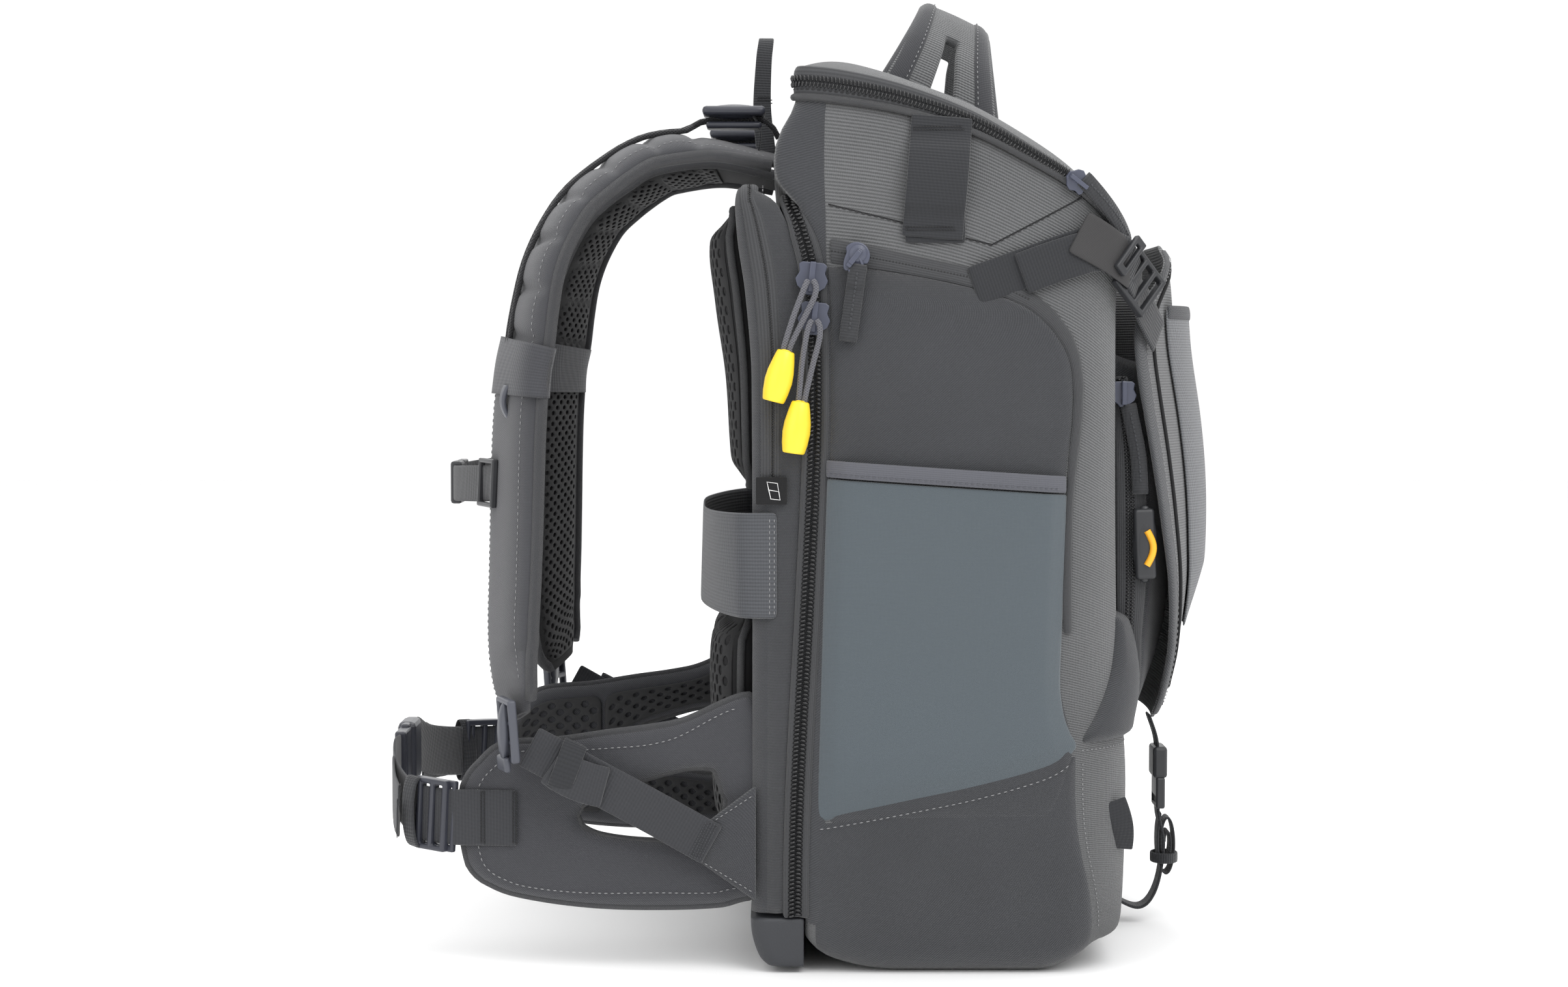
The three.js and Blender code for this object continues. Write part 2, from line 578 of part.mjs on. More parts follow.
// Pocket sewn on the flap, open along its top
{
  const [low, high] = [0.2, 0.86];
  piece('flap_pocket', sheet(12, 14, (u, v, side) => {
    const across = 2 * u - 1;
    const t = low + v * (high - low);
    const x = across * flapPocketHalf * (0.82 + 0.18 * Math.min(1, 4 * v));
    const swell = (1 - across ** 4) * Math.min(1, 5 * v);
    const y = flapY(x / flapWide, t) - seam - flapPocketDepth * swell;
    return [x, y - (side ? sheetThickness : 0), flapLow + t * (flapHigh - flapLow)];
  }), 'stretch');
}

// Side door, its stretch pocket and the webbing loop over it
// Rows: height, rear edge and front edge
const doorRows = [[0.175, 0.29, -0.02], [0.19, 0.285, -0.12], [0.23, 0.28, -0.3], [0.27, 0.275, -0.35],
  [0.4, 0.265, -0.34], [0.57, 0.257, -0.345], [0.68, 0.257, -0.34], [0.75, 0.257, -0.3], [0.79, 0.26, -0.21],
  [0.815, 0.265, -0.08], [0.835, 0.27, 0.06]];
const edgeAt = (rows, z, column) => Y(read(rows.map(row => [row[0], row[column]]), z / bagHeight));
function sidePanel(rows, columns, inner, outer) {
  const heights = rows.map(row => row[0]);
  return sheet(columns, rows.length - 1, (u, v, side) => {
    const z = Z(heights[Math.round(v * (rows.length - 1))]);
    const y = edgeAt(rows, z, 1) * (1 - u) + edgeAt(rows, z, 2) * u;
    return [-sideX(y, z) - (side ? outer(u, v, z) : inner(u, v, z)), y, z];
  });
}
pair('side_door', sidePanel(doorRows, 8, () => seam, () => seam + doorThickness), 'twill');
const stretchRows = [[0.18, 0.285, 0], [0.2, 0.28, -0.13], [0.23, 0.275, -0.28], [0.27, 0.27, -0.33],
  [0.34, 0.265, -0.32], [0.42, 0.26, -0.315], [0.5, 0.255, -0.32], [0.56, 0.25, -0.325], [0.583, 0.25, -0.325]];
{
  const start = 2 * seam + doorThickness;
  const swell = (u, v) => stretchDepth * Math.min(1, 6 * u, 6 * (1 - u)) * Math.min(1, 5 * v);
  pair('stretch_pocket', sidePanel(stretchRows, 12, (u, v) => start + swell(u, v),
    (u, v) => start + swell(u, v) + sheetThickness), 'stretch');
}
{
  const [low, high] = [Z(0.845), Z(0.975)];
  const [rear, lean] = [Y(0.065), Y(-0.0035)];
  const path = [];
  for (let i = 0; i <= 8; i++) {
    const t = i / 8;
    const [z, y] = [low + t * (high - low), rear - loopWidth / 2 + lean * (t - 0.5)];
    const off = seam + webbing / 2 + loopBow * Math.min(1, Math.max(0, (t - 0.12) * 5), Math.max(0, (1 - t) * 2.2));
    path.push([-sideX(y, z) - off - 0.5, y, Math.min(z, rim(y - loopWidth / 2) - zipBand * 0.62 - 3)]);
  }
  pair('side_loop', strap(path, [0, 1, 0], flat(loopWidth, webbing)), 'webbing');
}

// Top handle: an arch across the lid, each leg split by a slot
{
  const y = Y(-0.03);
  const top = lidZ(0, y) + handleHeight;
  const footZ = at => lidZ(handleSpan, at) + gap;
  const feet = footZ(y - handleFoot / 2);
  const arch = [[-1, 0], [-0.94, 0.3], [-0.78, 0.62], [-0.5, 0.88], [-0.22, 0.98], [0, 1]];
  const whole = [...arch, ...arch.slice(0, -1).reverse().map(([x, z]) => [-x, z])];
  const rise = top - handleThickness / 2 - feet;
  const widthAt = z => handleGrip + (handleFoot - handleGrip) * (1 - Math.min(1, (z - feet) / rise)) ** 0.8;
  const path = smooth(whole.map(([x, z]) => [x * handleSpan, y, feet + z * rise]), 24);
  const arched = strap(path, [0, 1, 0], i => {
    const z = path[Math.round(i * 24)][2];
    return padded(widthAt(z), handleThickness, 0.25);
  });
  const slot = new THREE.Shape([[-8.5, 0], [8.5, 0], [3.5, 0.6], [-3.5, 0.6]]
    .map(([a, b]) => new THREE.Vector2(a, b * rise)));
  const slots = new THREE.ExtrudeGeometry(slot, { depth: 4 * handleSpan, bevelEnabled: false })
    .rotateX(Math.PI / 2).rotateZ(Math.PI / 2).translate(-2 * handleSpan, y, feet - 0.5);
  const lidBlock = sheet(20, 16, (u, v, side) => {
    const [x, yy] = [(2 * u - 1) * handleSpan * 1.3, y + (v - 0.5) * 2 * handleFoot];
    return [x, yy, side ? lidZ(x, yy) + gap : feet - 60];
  });
  piece('top_handle', cut(arched, slots, lidBlock), 'twill');
}


// Sliders on the rear zip, with a loop of cord and a bead on each
const sliderFace = zipHalf(Z(0.77)) + coilProud + gap + sliderThickness + 0.6;
const cordSide = sliderFace + gap + cordDiameter / 2;
function tube(points, diameter, steps) {
  const path = new THREE.CatmullRomCurve3(points.map(p => new THREE.Vector3(...p)), false, 'centripetal');
  const round = new THREE.Shape(Array.from({ length: 8 }, (_, i) => new THREE.Vector2(
    Math.cos(i * Math.PI / 4) * diameter / 2, Math.sin(i * Math.PI / 4) * diameter / 2)));
  return new THREE.ExtrudeGeometry(round, { steps, extrudePath: path, bevelEnabled: false });
}
for (const [name, share, lean, drop] of [['upper', 0.797, 0.063, cordDrop * 0.6], ['lower', 0.752, 0.035, cordDrop * 0.7]]) {
  const z = Z(share);
  const y = profile(z).rear + seam + coilWidth / 2;
  piece(`main_slider_${name}`,
    box([sliderThickness, sliderWidth, sliderLength], [-sliderFace + sliderThickness / 2, y, z]), 'hardware');
  const top = z - sliderLength / 2 + 4;
  const beadY = y + Y(lean);
  const beadZ = top - drop;
  const strand = cordSplay / 2;
  piece(`pull_cord_${name}`, tube([
    [-cordSide - 1, beadY - strand, beadZ + gap], [-cordSide, (y + beadY) / 2 - strand, (top + beadZ) / 2],
    [-cordSide, y - strand, top - 3], [-cordSide, y, top], [-cordSide, y + strand, top - 3],
    [-cordSide, (y + beadY) / 2 + strand, (top + beadZ) / 2], [-cordSide - 1, beadY + strand, beadZ + gap],
  ], cordDiameter, 30), 'webbing');
  const half = beadDiameter / 2;
  const barrel = [[0, 0], [0.68, 0], [0.86, 0.12], [1, 0.5], [0.86, 0.88], [0.68, 1], [0, 1]]
    .map(([r, t]) => new THREE.Vector2(r * half, -t * beadLength));
  const bead = new THREE.LatheGeometry(barrel.reverse(), 16).rotateX(Math.PI / 2).rotateX(lean * 4)
    .translate(-cordSide - 1, beadY, beadZ - 0.9 - 3 * lean);
  piece(`pull_bead_${name}`, bead, 'bead');
}

// Woven pulls of the side doors' zips and of the lid's zip, each with its slider
{
  const z = Z(0.822);
  const y = Y(0.21);
  const seat = seam + doorThickness + gap;
  const slider = solid(box([sliderThickness, 14, 15], [-sideX(y, z) - seat - sliderThickness / 2, y, z]));
  const tab = solid(box([pullThickness, pullWidth, pullLength],
    [-sideX(y, z - pullLength) - seat - pullThickness / 2 - 0.4, y + 2.5, z - 6 - pullLength / 2]));
  pair('door_pull', geometryOf(slider.add(tab)), 'hardware');
}
{
  const turns = [4, 16, 28, 38, 46];
  const path = turns.map((degrees, i) =>
    offCorner(degrees, rim(Y(-0.33)) + 6 - i * 0.25 * pullLength * 0.66, 5 + 0.5 * i));
  const face = turns.map(degrees => [-Math.cos(THREE.MathUtils.degToRad(degrees)),
    -Math.sin(THREE.MathUtils.degToRad(degrees)), 0]);
  piece('lid_pull', carry(frames(path, null, face), flat(pullWidth, pullThickness)), 'hardware');
}

// Straps that hold the flap: sewn to the side, through a buckle and on to the flap
{
  const side = [[-0.215, 0.8], [-0.29, 0.812]].map(([y, z]) =>
    [-sideX(Y(y), Z(z)) - seam - doorThickness - seam - webbing / 2, Y(y), Z(z)]);
  const turns = [14, 34, 52, 68, 84];
  const corner = turns.map((degrees, i) => offCorner(degrees, Z([0.823, 0.828, 0.82, 0.797, 0.772][i]), 5.6 + [0.6, 1.4, 2.8, 4.8, 7.4][i]));
  const end = [-X(0.66), flapY(X(0.66) / flapWide, 0.8) - 2 * seam - 2.4 * webbing, flapLow + 0.8 * (flapHigh - flapLow)];
  const path = [...side, ...corner, end];
  const face = [0, 6, ...turns, 84].map(degrees => THREE.MathUtils.degToRad(degrees))
    .map(a => [-Math.cos(a), -Math.sin(a), 0]);
  const rails = frames(path, null, face);
  pair('flap_strap', carry(rails, flat(flapStrapWidth, webbing)), 'webbing');
  const [from, to] = [rails[4], rails[5]];
  const middle = from.point.clone().add(to.point).multiplyScalar(0.5);
  const along = to.point.clone().sub(from.point).normalize();
  const across = from.across.clone().add(to.across);
  across.addScaledVector(along, -across.dot(along)).normalize();
  const turned = new THREE.Matrix4().makeBasis(across, new THREE.Vector3().crossVectors(along, across), along)
    .setPosition(middle);
  const [w, t, l] = flapBuckle;
  const frame = cut(box([w + 6, t, l * 0.5], [0, 0, 0]), box([flapStrapWidth + 3, webbing + 4, l], [0, 0, 0]));
  pair('flap_buckle', frame.applyMatrix4(turned), 'buckle');
}

// Strap under the flap's tip that holds a tripod's legs, with its buckle
{
  const foot = frontY(0, 16);
  const path = smooth([[0, Y(-0.645), flapLow - 2.2], [0, Y(-0.67), Z(0.228)], [0, Y(-0.672), Z(0.185)], [0, Y(-0.674), Z(0.14)],
    [0, Y(-0.69), Z(0.1)], [0, Y(-0.67), Z(0.045)], [0, Y(-0.62), Z(0.02)], [0, foot - gap - 0.6, 17]], 20);
  piece('tripod_strap', strap(path, [1, 0, 0], flat(tripodWebbing, webbing)), 'webbing');
  const [w, t, l] = tripodBuckle;
  const [y, z] = [Y(-0.672) + 0.7, Z(0.185)];
  piece('tripod_buckle', cut(box([w, t, l], [0, y, z]), box([tripodWebbing + 2, webbing + 3, 2 * l], [0, y, z])), 'buckle');
}

// Toggle of the front pocket's cord, on the pocket's edge
{
  const [w, t, l] = toggle;
  const z = Z(0.49);
  piece('pocket_toggle', box([t, w, l], [-pocketHalf - gap - t / 2, domeY(-pocketHalf, z) + 2, z]), 'buckle');
}

// Shoulder straps: out over the top, down in front of the wearer, turned a little outwards
const strapBase = compartmentRear(0);
const strapTable = [[-0.072, 0.934], [0.03, 0.944], [0.14, 0.95], [0.26, 0.95], [0.38, 0.943], [0.46, 0.93],
  [0.57, 0.905], [0.65, 0.88], [0.72, 0.843], [0.765, 0.807], [0.795, 0.765], [0.815, 0.728], [0.84, 0.69],
  [0.855, 0.632], [0.862, 0.574], [0.866, 0.51], [0.87, 0.45], [0.874, 0.396], [0.868, 0.356], [0.855, 0.328],
  [0.838, 0.295]];
const strapSide = [[0, 0.79], [0.3, 0.9], [0.45, 1], [0.7, 1.03], [0.9, 1.17], [1, 1.26]];
const strapSteps = 36;
const strapPath = smooth(strapTable.map(([y, z], i) => [-strapSpread * read(strapSide, i / (strapTable.length - 1)),
  strapBase + y * strapReach + (i ? 0 : seam), Z(z)]), strapSteps);
const strapTurn = t => THREE.MathUtils.degToRad(strapRoll) * read([[0, 0.3], [0.35, 0.6], [0.55, 0.9], [1, 0.9]], t);
const strapRails = frames(strapPath, strapPath.map((point, i) => {
  const [now, next] = [strapPath[Math.max(0, i - 1)], strapPath[Math.min(strapSteps, i + 1)]];
  const along = new THREE.Vector3(...next).sub(new THREE.Vector3(...now)).normalize();
  const turn = strapTurn(i / strapSteps);
  const out = new THREE.Vector3().crossVectors(along, new THREE.Vector3(-1, 0, 0)).normalize();
  return [-Math.cos(turn), -Math.sin(turn) * out.y, -Math.sin(turn) * out.z];
}));
const strapFull = t => strapThickness * read([[0, 0.45], [0.1, 0.6], [0.16, 1], [0.9, 1], [1, 0.5]], t);
const strapSpan = t => strapWidth * read([[0, 0.78], [0.12, 0.92], [0.25, 1], [0.9, 1], [0.97, 0.86], [1, 0.6]], t);
pair('shoulder_strap', carry(strapRails, t => padded(strapSpan(t), strapFull(t))), 'twill');
// Frame of the strap where it passes a height on its way down
const strapAt = z => strapRails.slice(12).reduce((best, rail) =>
  Math.abs(rail.point.z - z) < Math.abs(best.point.z - z) ? rail : best);

// Elastic sleeve round each strap
const sleeveMiddle = Z(0.692);
{
  const middle = strapAt(sleeveMiddle);
  const low = { ...middle, point: middle.point.clone().addScaledVector(middle.along, sleeveHeight / 2) };
  const high = { ...middle, point: middle.point.clone().addScaledVector(middle.along, -sleeveHeight / 2) };
  const around = extra => padded(strapWidth + extra, strapThickness + extra + 3);
  const rings = [[low, 6], [high, 6], [high, 2.6], [low, 2.6]].map(([rail, extra]) =>
    around(extra).map(([a, o]) => place(rail, a, o)));
  pair('strap_sleeve', loft(rings, true), 'webbing');
}

// Cord from each strap to the top of the bag, and the lock that shortens it
{
  const start = strapAt(sleeveMiddle + sleeveHeight / 2 + 6);
  const first = strapRails.indexOf(start);
  const lift = strapThickness / 2 + lifterDiameter / 2 + 2 * seam;
  const run = [];
  for (let i = first; i > 4; i -= 2) run.push(place(strapRails[i], -8, lift));
  const lockAt = [run.at(-1)[0] + 4, Y(0.52), Z(0.987)];
  const end = [lockAt[0] + 4, profile(Z(0.965)).rear + lifterDiameter / 2 + seam, Z(0.965)];
  const path = [...run, [lockAt[0], lockAt[1] + lockLength / 2, lockAt[2] - 2], lockAt,
    [lockAt[0], lockAt[1] - lockLength / 2, lockAt[2]], end];
  pair('lifter_cord', tube(path, lifterDiameter, 60), 'zip');
  const channel = box([lifterDiameter + 4, 2 * lockLength, lifterDiameter + 4], lockAt);
  pair('lifter_lock', cut(box([lockWidth, lockLength, lockHeight], lockAt), channel), 'hardware');
}

// Webbing loop to hang the bag by, standing up behind the lid
{
  const z = Z(0.955);
  const y = profile(z).rear + gap + hangLoopWidth / 2 + 0.6;
  const arch = [[-1, 0], [-0.95, 0.4], [-0.9, 0.8], [-0.55, 0.96], [0, 1], [0.55, 0.96], [0.9, 0.8], [0.95, 0.4], [1, 0]];
  piece('hang_loop', strap(smooth(arch.map(([x, t]) => [x * hangLoopHalf, y, z + t * hangLoopHeight]), 18),
    [0, 1, 0], flat(hangLoopWidth, webbing)), 'webbing');
}

// Chest strap between the shoulder straps, through its buckle
{
  const rail = strapAt(Z(0.56));
  const off = strapThickness / 2 + seam + webbing / 2;
  const [a, b] = [place(rail, -6, off), place(rail, -strapWidth * 0.42, off)];
  const bow = b[1] + sternumBow;
  const half = [a, b, [b[0] * 0.62, b[1] + sternumBow * 0.62, a[2] - 3], [-sternumBuckle[0] / 2 - 4, bow, a[2] - 4]];
  const path = [...half, [0, bow, a[2] - 4], ...half.map(([x, y, z]) => [-x, y, z]).reverse()];
  piece('sternum_strap', strap(path, [0, 0, 1], flat(sternumWidth, webbing)), 'webbing');
  const centre = [0, bow, a[2] - 4];
  piece('sternum_buckle', cut(box(sternumBuckle, centre),
    box([2 * sternumBuckle[0], webbing + 2, sternumWidth + 1.6], centre)), 'buckle');
}

// Hip belt wings: padded, with a slot towards the lumbar pad
const wingRoot = compartmentRear(0) + seam;
const wingReach = beltReach * 0.755;
const bend = y => 9 * ((y - wingRoot) / wingReach) ** 2;
const wingFace = y => -beltSpread - wingThickness / 2 + bend(y);
{
  const at = ([y, z]) => new THREE.Vector2(wingRoot + y * wingReach, Z(z));
  const outline = [[0, 0.086], [0.1, 0.078], [0.33, 0.0745], [0.55, 0.0765], [0.77, 0.086], [0.88, 0.097],
    [0.965, 0.12], [1, 0.15], [1, 0.18], [0.985, 0.21], [0.92, 0.242], [0.855, 0.26], [0.65, 0.267], [0.48, 0.276],
    [0.33, 0.283], [0.22, 0.291], [0.06, 0.315], [0, 0.32]];
  const slot = [[0.1, 0.151], [0.33, 0.151], [0.5, 0.157], [0.575, 0.168], [0.59, 0.18], [0.57, 0.192],
    [0.5, 0.202], [0.42, 0.216], [0.13, 0.235], [0.08, 0.2]];
  const shape = new THREE.Shape(outline.map(at));
  shape.holes.push(new THREE.Path(slot.map(at).reverse()));
  const wing = new THREE.ExtrudeGeometry(shape, { depth: wingThickness, bevelEnabled: false, steps: 1 })
    .rotateX(Math.PI / 2).rotateZ(Math.PI / 2).translate(-beltSpread - wingThickness / 2, 0, 0);
  const spots = wing.attributes.position;
  for (let i = 0; i < spots.count; i++) spots.setX(i, spots.getX(i) + bend(spots.getY(i)));
  pair('hip_wing', wing, 'twill');
}

// Belt: webbing from each wing through an adjuster to the buckle in front
{
  const [z, middleZ] = [Z(0.178), Z(0.212)];
  const front = compartmentRear(0) + beltReach - hipBuckle[1] / 2;
  const tip = wingRoot + wingReach;
  const off = seam + webbing / 2 + 0.8;
  const path = [[wingFace(tip - 27) - off, tip - 27, z], [wingFace(tip - 10) - off, tip - 10, z],
    [wingFace(tip) - off + 1, tip + 3, z], [-X(0.785), tip + 22, z + 1]];
  path.push([-X(0.64), front - 11, z + 4], [-X(0.46), front - 3, z + 9], [-X(0.33), front, middleZ],
    [-hipBuckle[0] / 2 - gap, front, middleZ]);
  pair('hip_strap', strap(path, [0, 0, 1], flat(beltWebbing, webbing)), 'webbing');
  const [a, b] = [path[2], path[3]].map(p => new THREE.Vector3(...p));
  const [t, w, h] = hipAdjuster;
  const length = w * 0.6;
  const adjuster = cut(box([t, length, h], [0, 0, 0]), box([webbing + 2, 2 * w, beltWebbing + 2.4], [0, 0, 0]));
  const turn = Math.atan2(a.x - b.x, b.y - a.y);
  pair('hip_adjuster', adjuster.rotateZ(turn).translate(...a.clone().add(b).multiplyScalar(0.5).toArray()), 'hardware');
  piece('hip_buckle', box(hipBuckle, [0, front, middleZ]), 'hardware');
}

// Gusset at the foot of the bag, the webbing sewn to it and the lock at the strap's foot
{
  const side = compartmentHalf(Z(0.15)) + gap;
  const [low, high, tip] = [[0.2, 0.086], [0.2, 0.22], [31.5, 0.151]];
  const base = compartmentRear(0) + seam;
  const corner = ([y, z]) => new THREE.Vector2(base + y, Z(z));
  const triangle = new THREE.ExtrudeGeometry(new THREE.Shape([corner(low), corner([tip[0], tip[1] - 0.012]),
    corner([tip[0], tip[1] + 0.012]), corner(high)]), { depth: gussetThickness, bevelEnabled: false })
    .rotateX(Math.PI / 2).rotateZ(Math.PI / 2).translate(-side - gussetThickness, 0, 0);
  pair('gusset', triangle, 'twill');
  const foot = strapRails.at(-1);
  const outside = side + gussetThickness + gap + webbing / 2;
  const top = [-outside - 4, strapBase + 0.8 * strapReach, Z(0.266)];
  const path = [[-outside, base + tip[0] - 9, Z(0.155)], [-outside - 0.5, base + tip[0] + 22, Z(0.193)],
    [-outside - 2, base + tip[0] + 62, Z(0.24)], top];
  pair('lower_webbing', carry(frames(path, null, [-1, 0, 0]), flat(footWebbing, webbing)), 'webbing');
  const [t, , h] = ladderLock;
  const [lx, ly, lz] = place(foot, strapWidth * 0.19, strapThickness * 0.3 + t / 2 + seam);
  pair('ladder_lock', box([24, t, h], [0, 0, 0]).rotateZ(strapTurn(1)).translate(lx, ly, lz - 8), 'hardware');
}

export default backpack;
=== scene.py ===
# A camera backpack, standing upright on its flat base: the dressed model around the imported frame.
# Metres, +Z up, flap side to -Y, harness to +Y, the wearer's left to -X, as in the frame.
# Sizes in the tables are millimetres, or shares of the bag's height, depth and half width.
from math import atan2, cos, hypot, pi, radians, sin, sqrt

import bmesh
import bpy
from mathutils import Matrix, Vector


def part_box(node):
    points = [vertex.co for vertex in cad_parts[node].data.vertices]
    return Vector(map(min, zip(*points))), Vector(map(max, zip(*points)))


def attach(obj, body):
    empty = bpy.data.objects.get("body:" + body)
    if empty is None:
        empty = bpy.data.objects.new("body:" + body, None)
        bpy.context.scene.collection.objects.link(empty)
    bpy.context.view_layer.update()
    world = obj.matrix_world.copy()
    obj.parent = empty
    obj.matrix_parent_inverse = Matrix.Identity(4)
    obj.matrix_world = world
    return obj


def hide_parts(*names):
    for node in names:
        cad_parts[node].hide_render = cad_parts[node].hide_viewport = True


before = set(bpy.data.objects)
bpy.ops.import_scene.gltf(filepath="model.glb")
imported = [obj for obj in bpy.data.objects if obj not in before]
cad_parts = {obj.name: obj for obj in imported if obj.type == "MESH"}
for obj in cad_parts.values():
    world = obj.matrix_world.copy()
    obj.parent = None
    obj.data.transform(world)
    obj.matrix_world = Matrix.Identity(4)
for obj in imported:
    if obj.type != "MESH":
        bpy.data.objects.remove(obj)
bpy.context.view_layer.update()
MM = 0.001

# ---- Camera, floor and light
# A long lens at half a metre's height looks across the wearer's left side, a little down.
# The floor and the air round it are pale, and four large soft lamps stand about the bag.
camera = bpy.data.objects.new("camera", bpy.data.cameras.new("camera"))
bpy.context.scene.collection.objects.link(camera)
camera.location = (-1.640, 0.080, 0.3244)
camera.rotation_euler = (radians(87.3), 0, radians(-90))
camera.data.sensor_width = 36
camera.data.lens = 65.8
bpy.context.scene.camera = camera
bpy.context.scene.view_settings.view_transform = "Standard"


def plain_finish(name, colour, roughness):
    finish = bpy.data.materials.new(name)
    finish.use_nodes = True
    shader = finish.node_tree.nodes["Principled BSDF"]
    shader.inputs["Base Color"].default_value = (*colour, 1)
    shader.inputs["Roughness"].default_value = roughness
    return finish


floor_mesh = bmesh.new()
bmesh.ops.create_grid(floor_mesh, x_segments=1, y_segments=1, size=6)
floor_data = bpy.data.meshes.new("floor")
floor_mesh.to_mesh(floor_data)
floor_mesh.free()
floor_data.materials.append(plain_finish("pale_floor", (0.96, 0.96, 0.96), 0.9))
floor = bpy.data.objects.new("floor", floor_data)
bpy.context.scene.collection.objects.link(floor)

LAMPS = {  # place, what it looks at, width, power
    "key": ((-1.5, -0.9, 1.9), (0, 0, 0.25), 1.6, 30),
    "fill": ((-1.7, 1.5, 1.2), (0, 0.1, 0.25), 1.8, 9),
    "top": ((0.2, 0.1, 2.4), (0, 0, 0.2), 1.8, 17),
    "far": ((1.8, 0.3, 1.3), (0, 0, 0.25), 1.8, 8),
}
for lamp_name, (place, aim, width, power) in LAMPS.items():
    lamp = bpy.data.lights.new(lamp_name, "AREA")
    lamp.shape, lamp.size, lamp.energy = "SQUARE", width, power
    holder = bpy.data.objects.new(lamp_name, lamp)
    holder.location = place
    holder.rotation_euler = (Vector(aim) - Vector(place)).to_track_quat("-Z", "Y").to_euler()
    bpy.context.scene.collection.objects.link(holder)
world = bpy.data.worlds.new("studio")
world.use_nodes = True
world.node_tree.nodes["Background"].inputs["Color"].default_value = (1, 1, 1, 1)
world.node_tree.nodes["Background"].inputs["Strength"].default_value = 1.03
bpy.context.scene.world = world

# ---- Pull cords and their beads
# Two loops of thin grey braid, each threaded through a slider of the rear zip and drawn into a
# moulded yellow bead. The two strands of a loop hang side by side from the slider to the bead.
CORD = 3.0
STRANDS = {  # y and z of the slider's eye, y and z of the bead's top, lean of the bead, out of the side
    "upper": (66.3, 363.0, 78.9, 328.2, 0.252, 157.0),
    "lower": (64.4, 342.4, 71.4, 302.0, 0.140, 157.6),
}


def object_of(name, mesh, *finishes, smooth=True):
    """A finished piece from a bmesh or a mesh: its object sits at the origin and rides on the bag."""
    if isinstance(mesh, bmesh.types.BMesh):
        data = bpy.data.meshes.new(name)
        mesh.to_mesh(data)
        mesh.free()
    else:
        data = mesh
    data.name = name
    for finish in finishes:
        data.materials.append(finish)
    if smooth:
        data.shade_smooth()
    piece = bpy.data.objects.new(name, data)
    bpy.context.scene.collection.objects.link(piece)
    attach(piece, "root")
    return piece


def curve_of(name, points, radius, finish, sides=2):
    """A round cord or welt along points in millimetres, as a capped curve with one open spline."""
    line = bpy.data.curves.new(name, "CURVE")
    line.dimensions = "3D"
    line.bevel_depth = radius * MM
    line.bevel_resolution = sides
    line.use_fill_caps = True
    spline = line.splines.new("POLY")
    spline.points.add(len(points) - 1)
    for spot, point in zip(spline.points, points):
        spot.co = (*(c * MM for c in point), 1)
    line.materials.append(finish)
    piece = bpy.data.objects.new(name, line)
    bpy.context.scene.collection.objects.link(piece)
    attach(piece, "root")
    return piece


def smooth_line(points, steps):
    """Evenly spaced points on a smooth curve through the given ones."""
    knots = [Vector(p) for p in points]
    dense = []
    for i in range(len(knots) - 1):
        a, b = knots[i], knots[i + 1]
        before = knots[i - 1] if i else a * 2 - b
        after = knots[i + 2] if i + 2 < len(knots) else b * 2 - a
        for k in range(16):
            t = k / 16
            dense.append(0.5 * (2 * a + (b - before) * t + (2 * before - 5 * a + 4 * b - after) * t * t
                                + (3 * a - before - 3 * b + after) * t ** 3))
    dense.append(knots[-1])
    return evenly(dense, steps)


def runs_of(points):
    """Length of a line up to each of its points."""
    runs = [0]
    for a, b in zip(points, points[1:]):
        runs.append(runs[-1] + (b - a).length)
    return runs


def places_on(runs, lengths):
    """Index of the point before each length along a line, and the share of the way to the next."""
    i = 0
    for length in lengths:
        while i < len(runs) - 2 and runs[i + 1] < length:
            i += 1
        yield i, (length - runs[i]) / max(1e-9, runs[i + 1] - runs[i])


def evenly(points, steps):
    points = [Vector(p) for p in points]
    runs = runs_of(points)
    places = places_on(runs, [runs[-1] * k / steps for k in range(steps + 1)])
    return [points[i].lerp(points[i + 1], min(1, max(0, t))) for i, t in places]


def length_of(points):
    return sum((b - a).length for a, b in zip(points, points[1:]))


def textured(name, colour, roughness, bump=0.0002, sheen=0.0):
    """Start of a procedural finish: its tree, its shader, and a bump node wired to the normal."""
    finish = plain_finish(name, colour, roughness)
    tree = finish.node_tree
    shader = tree.nodes["Principled BSDF"]
    shader.inputs["Sheen Weight"].default_value = sheen
    shader.inputs["Specular IOR Level"].default_value = 0.3
    relief = tree.nodes.new("ShaderNodeBump")
    relief.inputs["Distance"].default_value = bump
    tree.links.new(relief.outputs["Normal"], shader.inputs["Normal"])
    return finish, tree, shader, relief


def add_node(tree, kind, settings=None, **values):
    node = tree.nodes.new(kind)
    for key, value in (settings or {}).items():
        setattr(node, key, value)
    for key, value in values.items():
        numbered = key[0] == "i" and key[1:].isdigit()
        socket = node.inputs[int(key[1:]) if numbered else key.replace("_", " ")]
        if isinstance(value, bpy.types.NodeSocket):
            tree.links.new(value, socket)
        else:
            socket.default_value = value
    return node


def maths(tree, how, a, b=0.0):
    return add_node(tree, "ShaderNodeMath", {"operation": how}, i0=a, i1=b).outputs[0]


def shade_of(tree, shader, colour, factor, dark=0.72, light=1.16):
    """Colour between a darker and a lighter tone of one colour, by a factor from 0 to 1."""
    mix = add_node(tree, "ShaderNodeMix", {"data_type": "RGBA"}, Factor=factor)
    mix.inputs[6].default_value = (*(c * dark for c in colour), 1)
    mix.inputs[7].default_value = (*(min(1, c * light) for c in colour), 1)
    tree.links.new(mix.outputs[2], shader.inputs["Base Color"])
    return mix


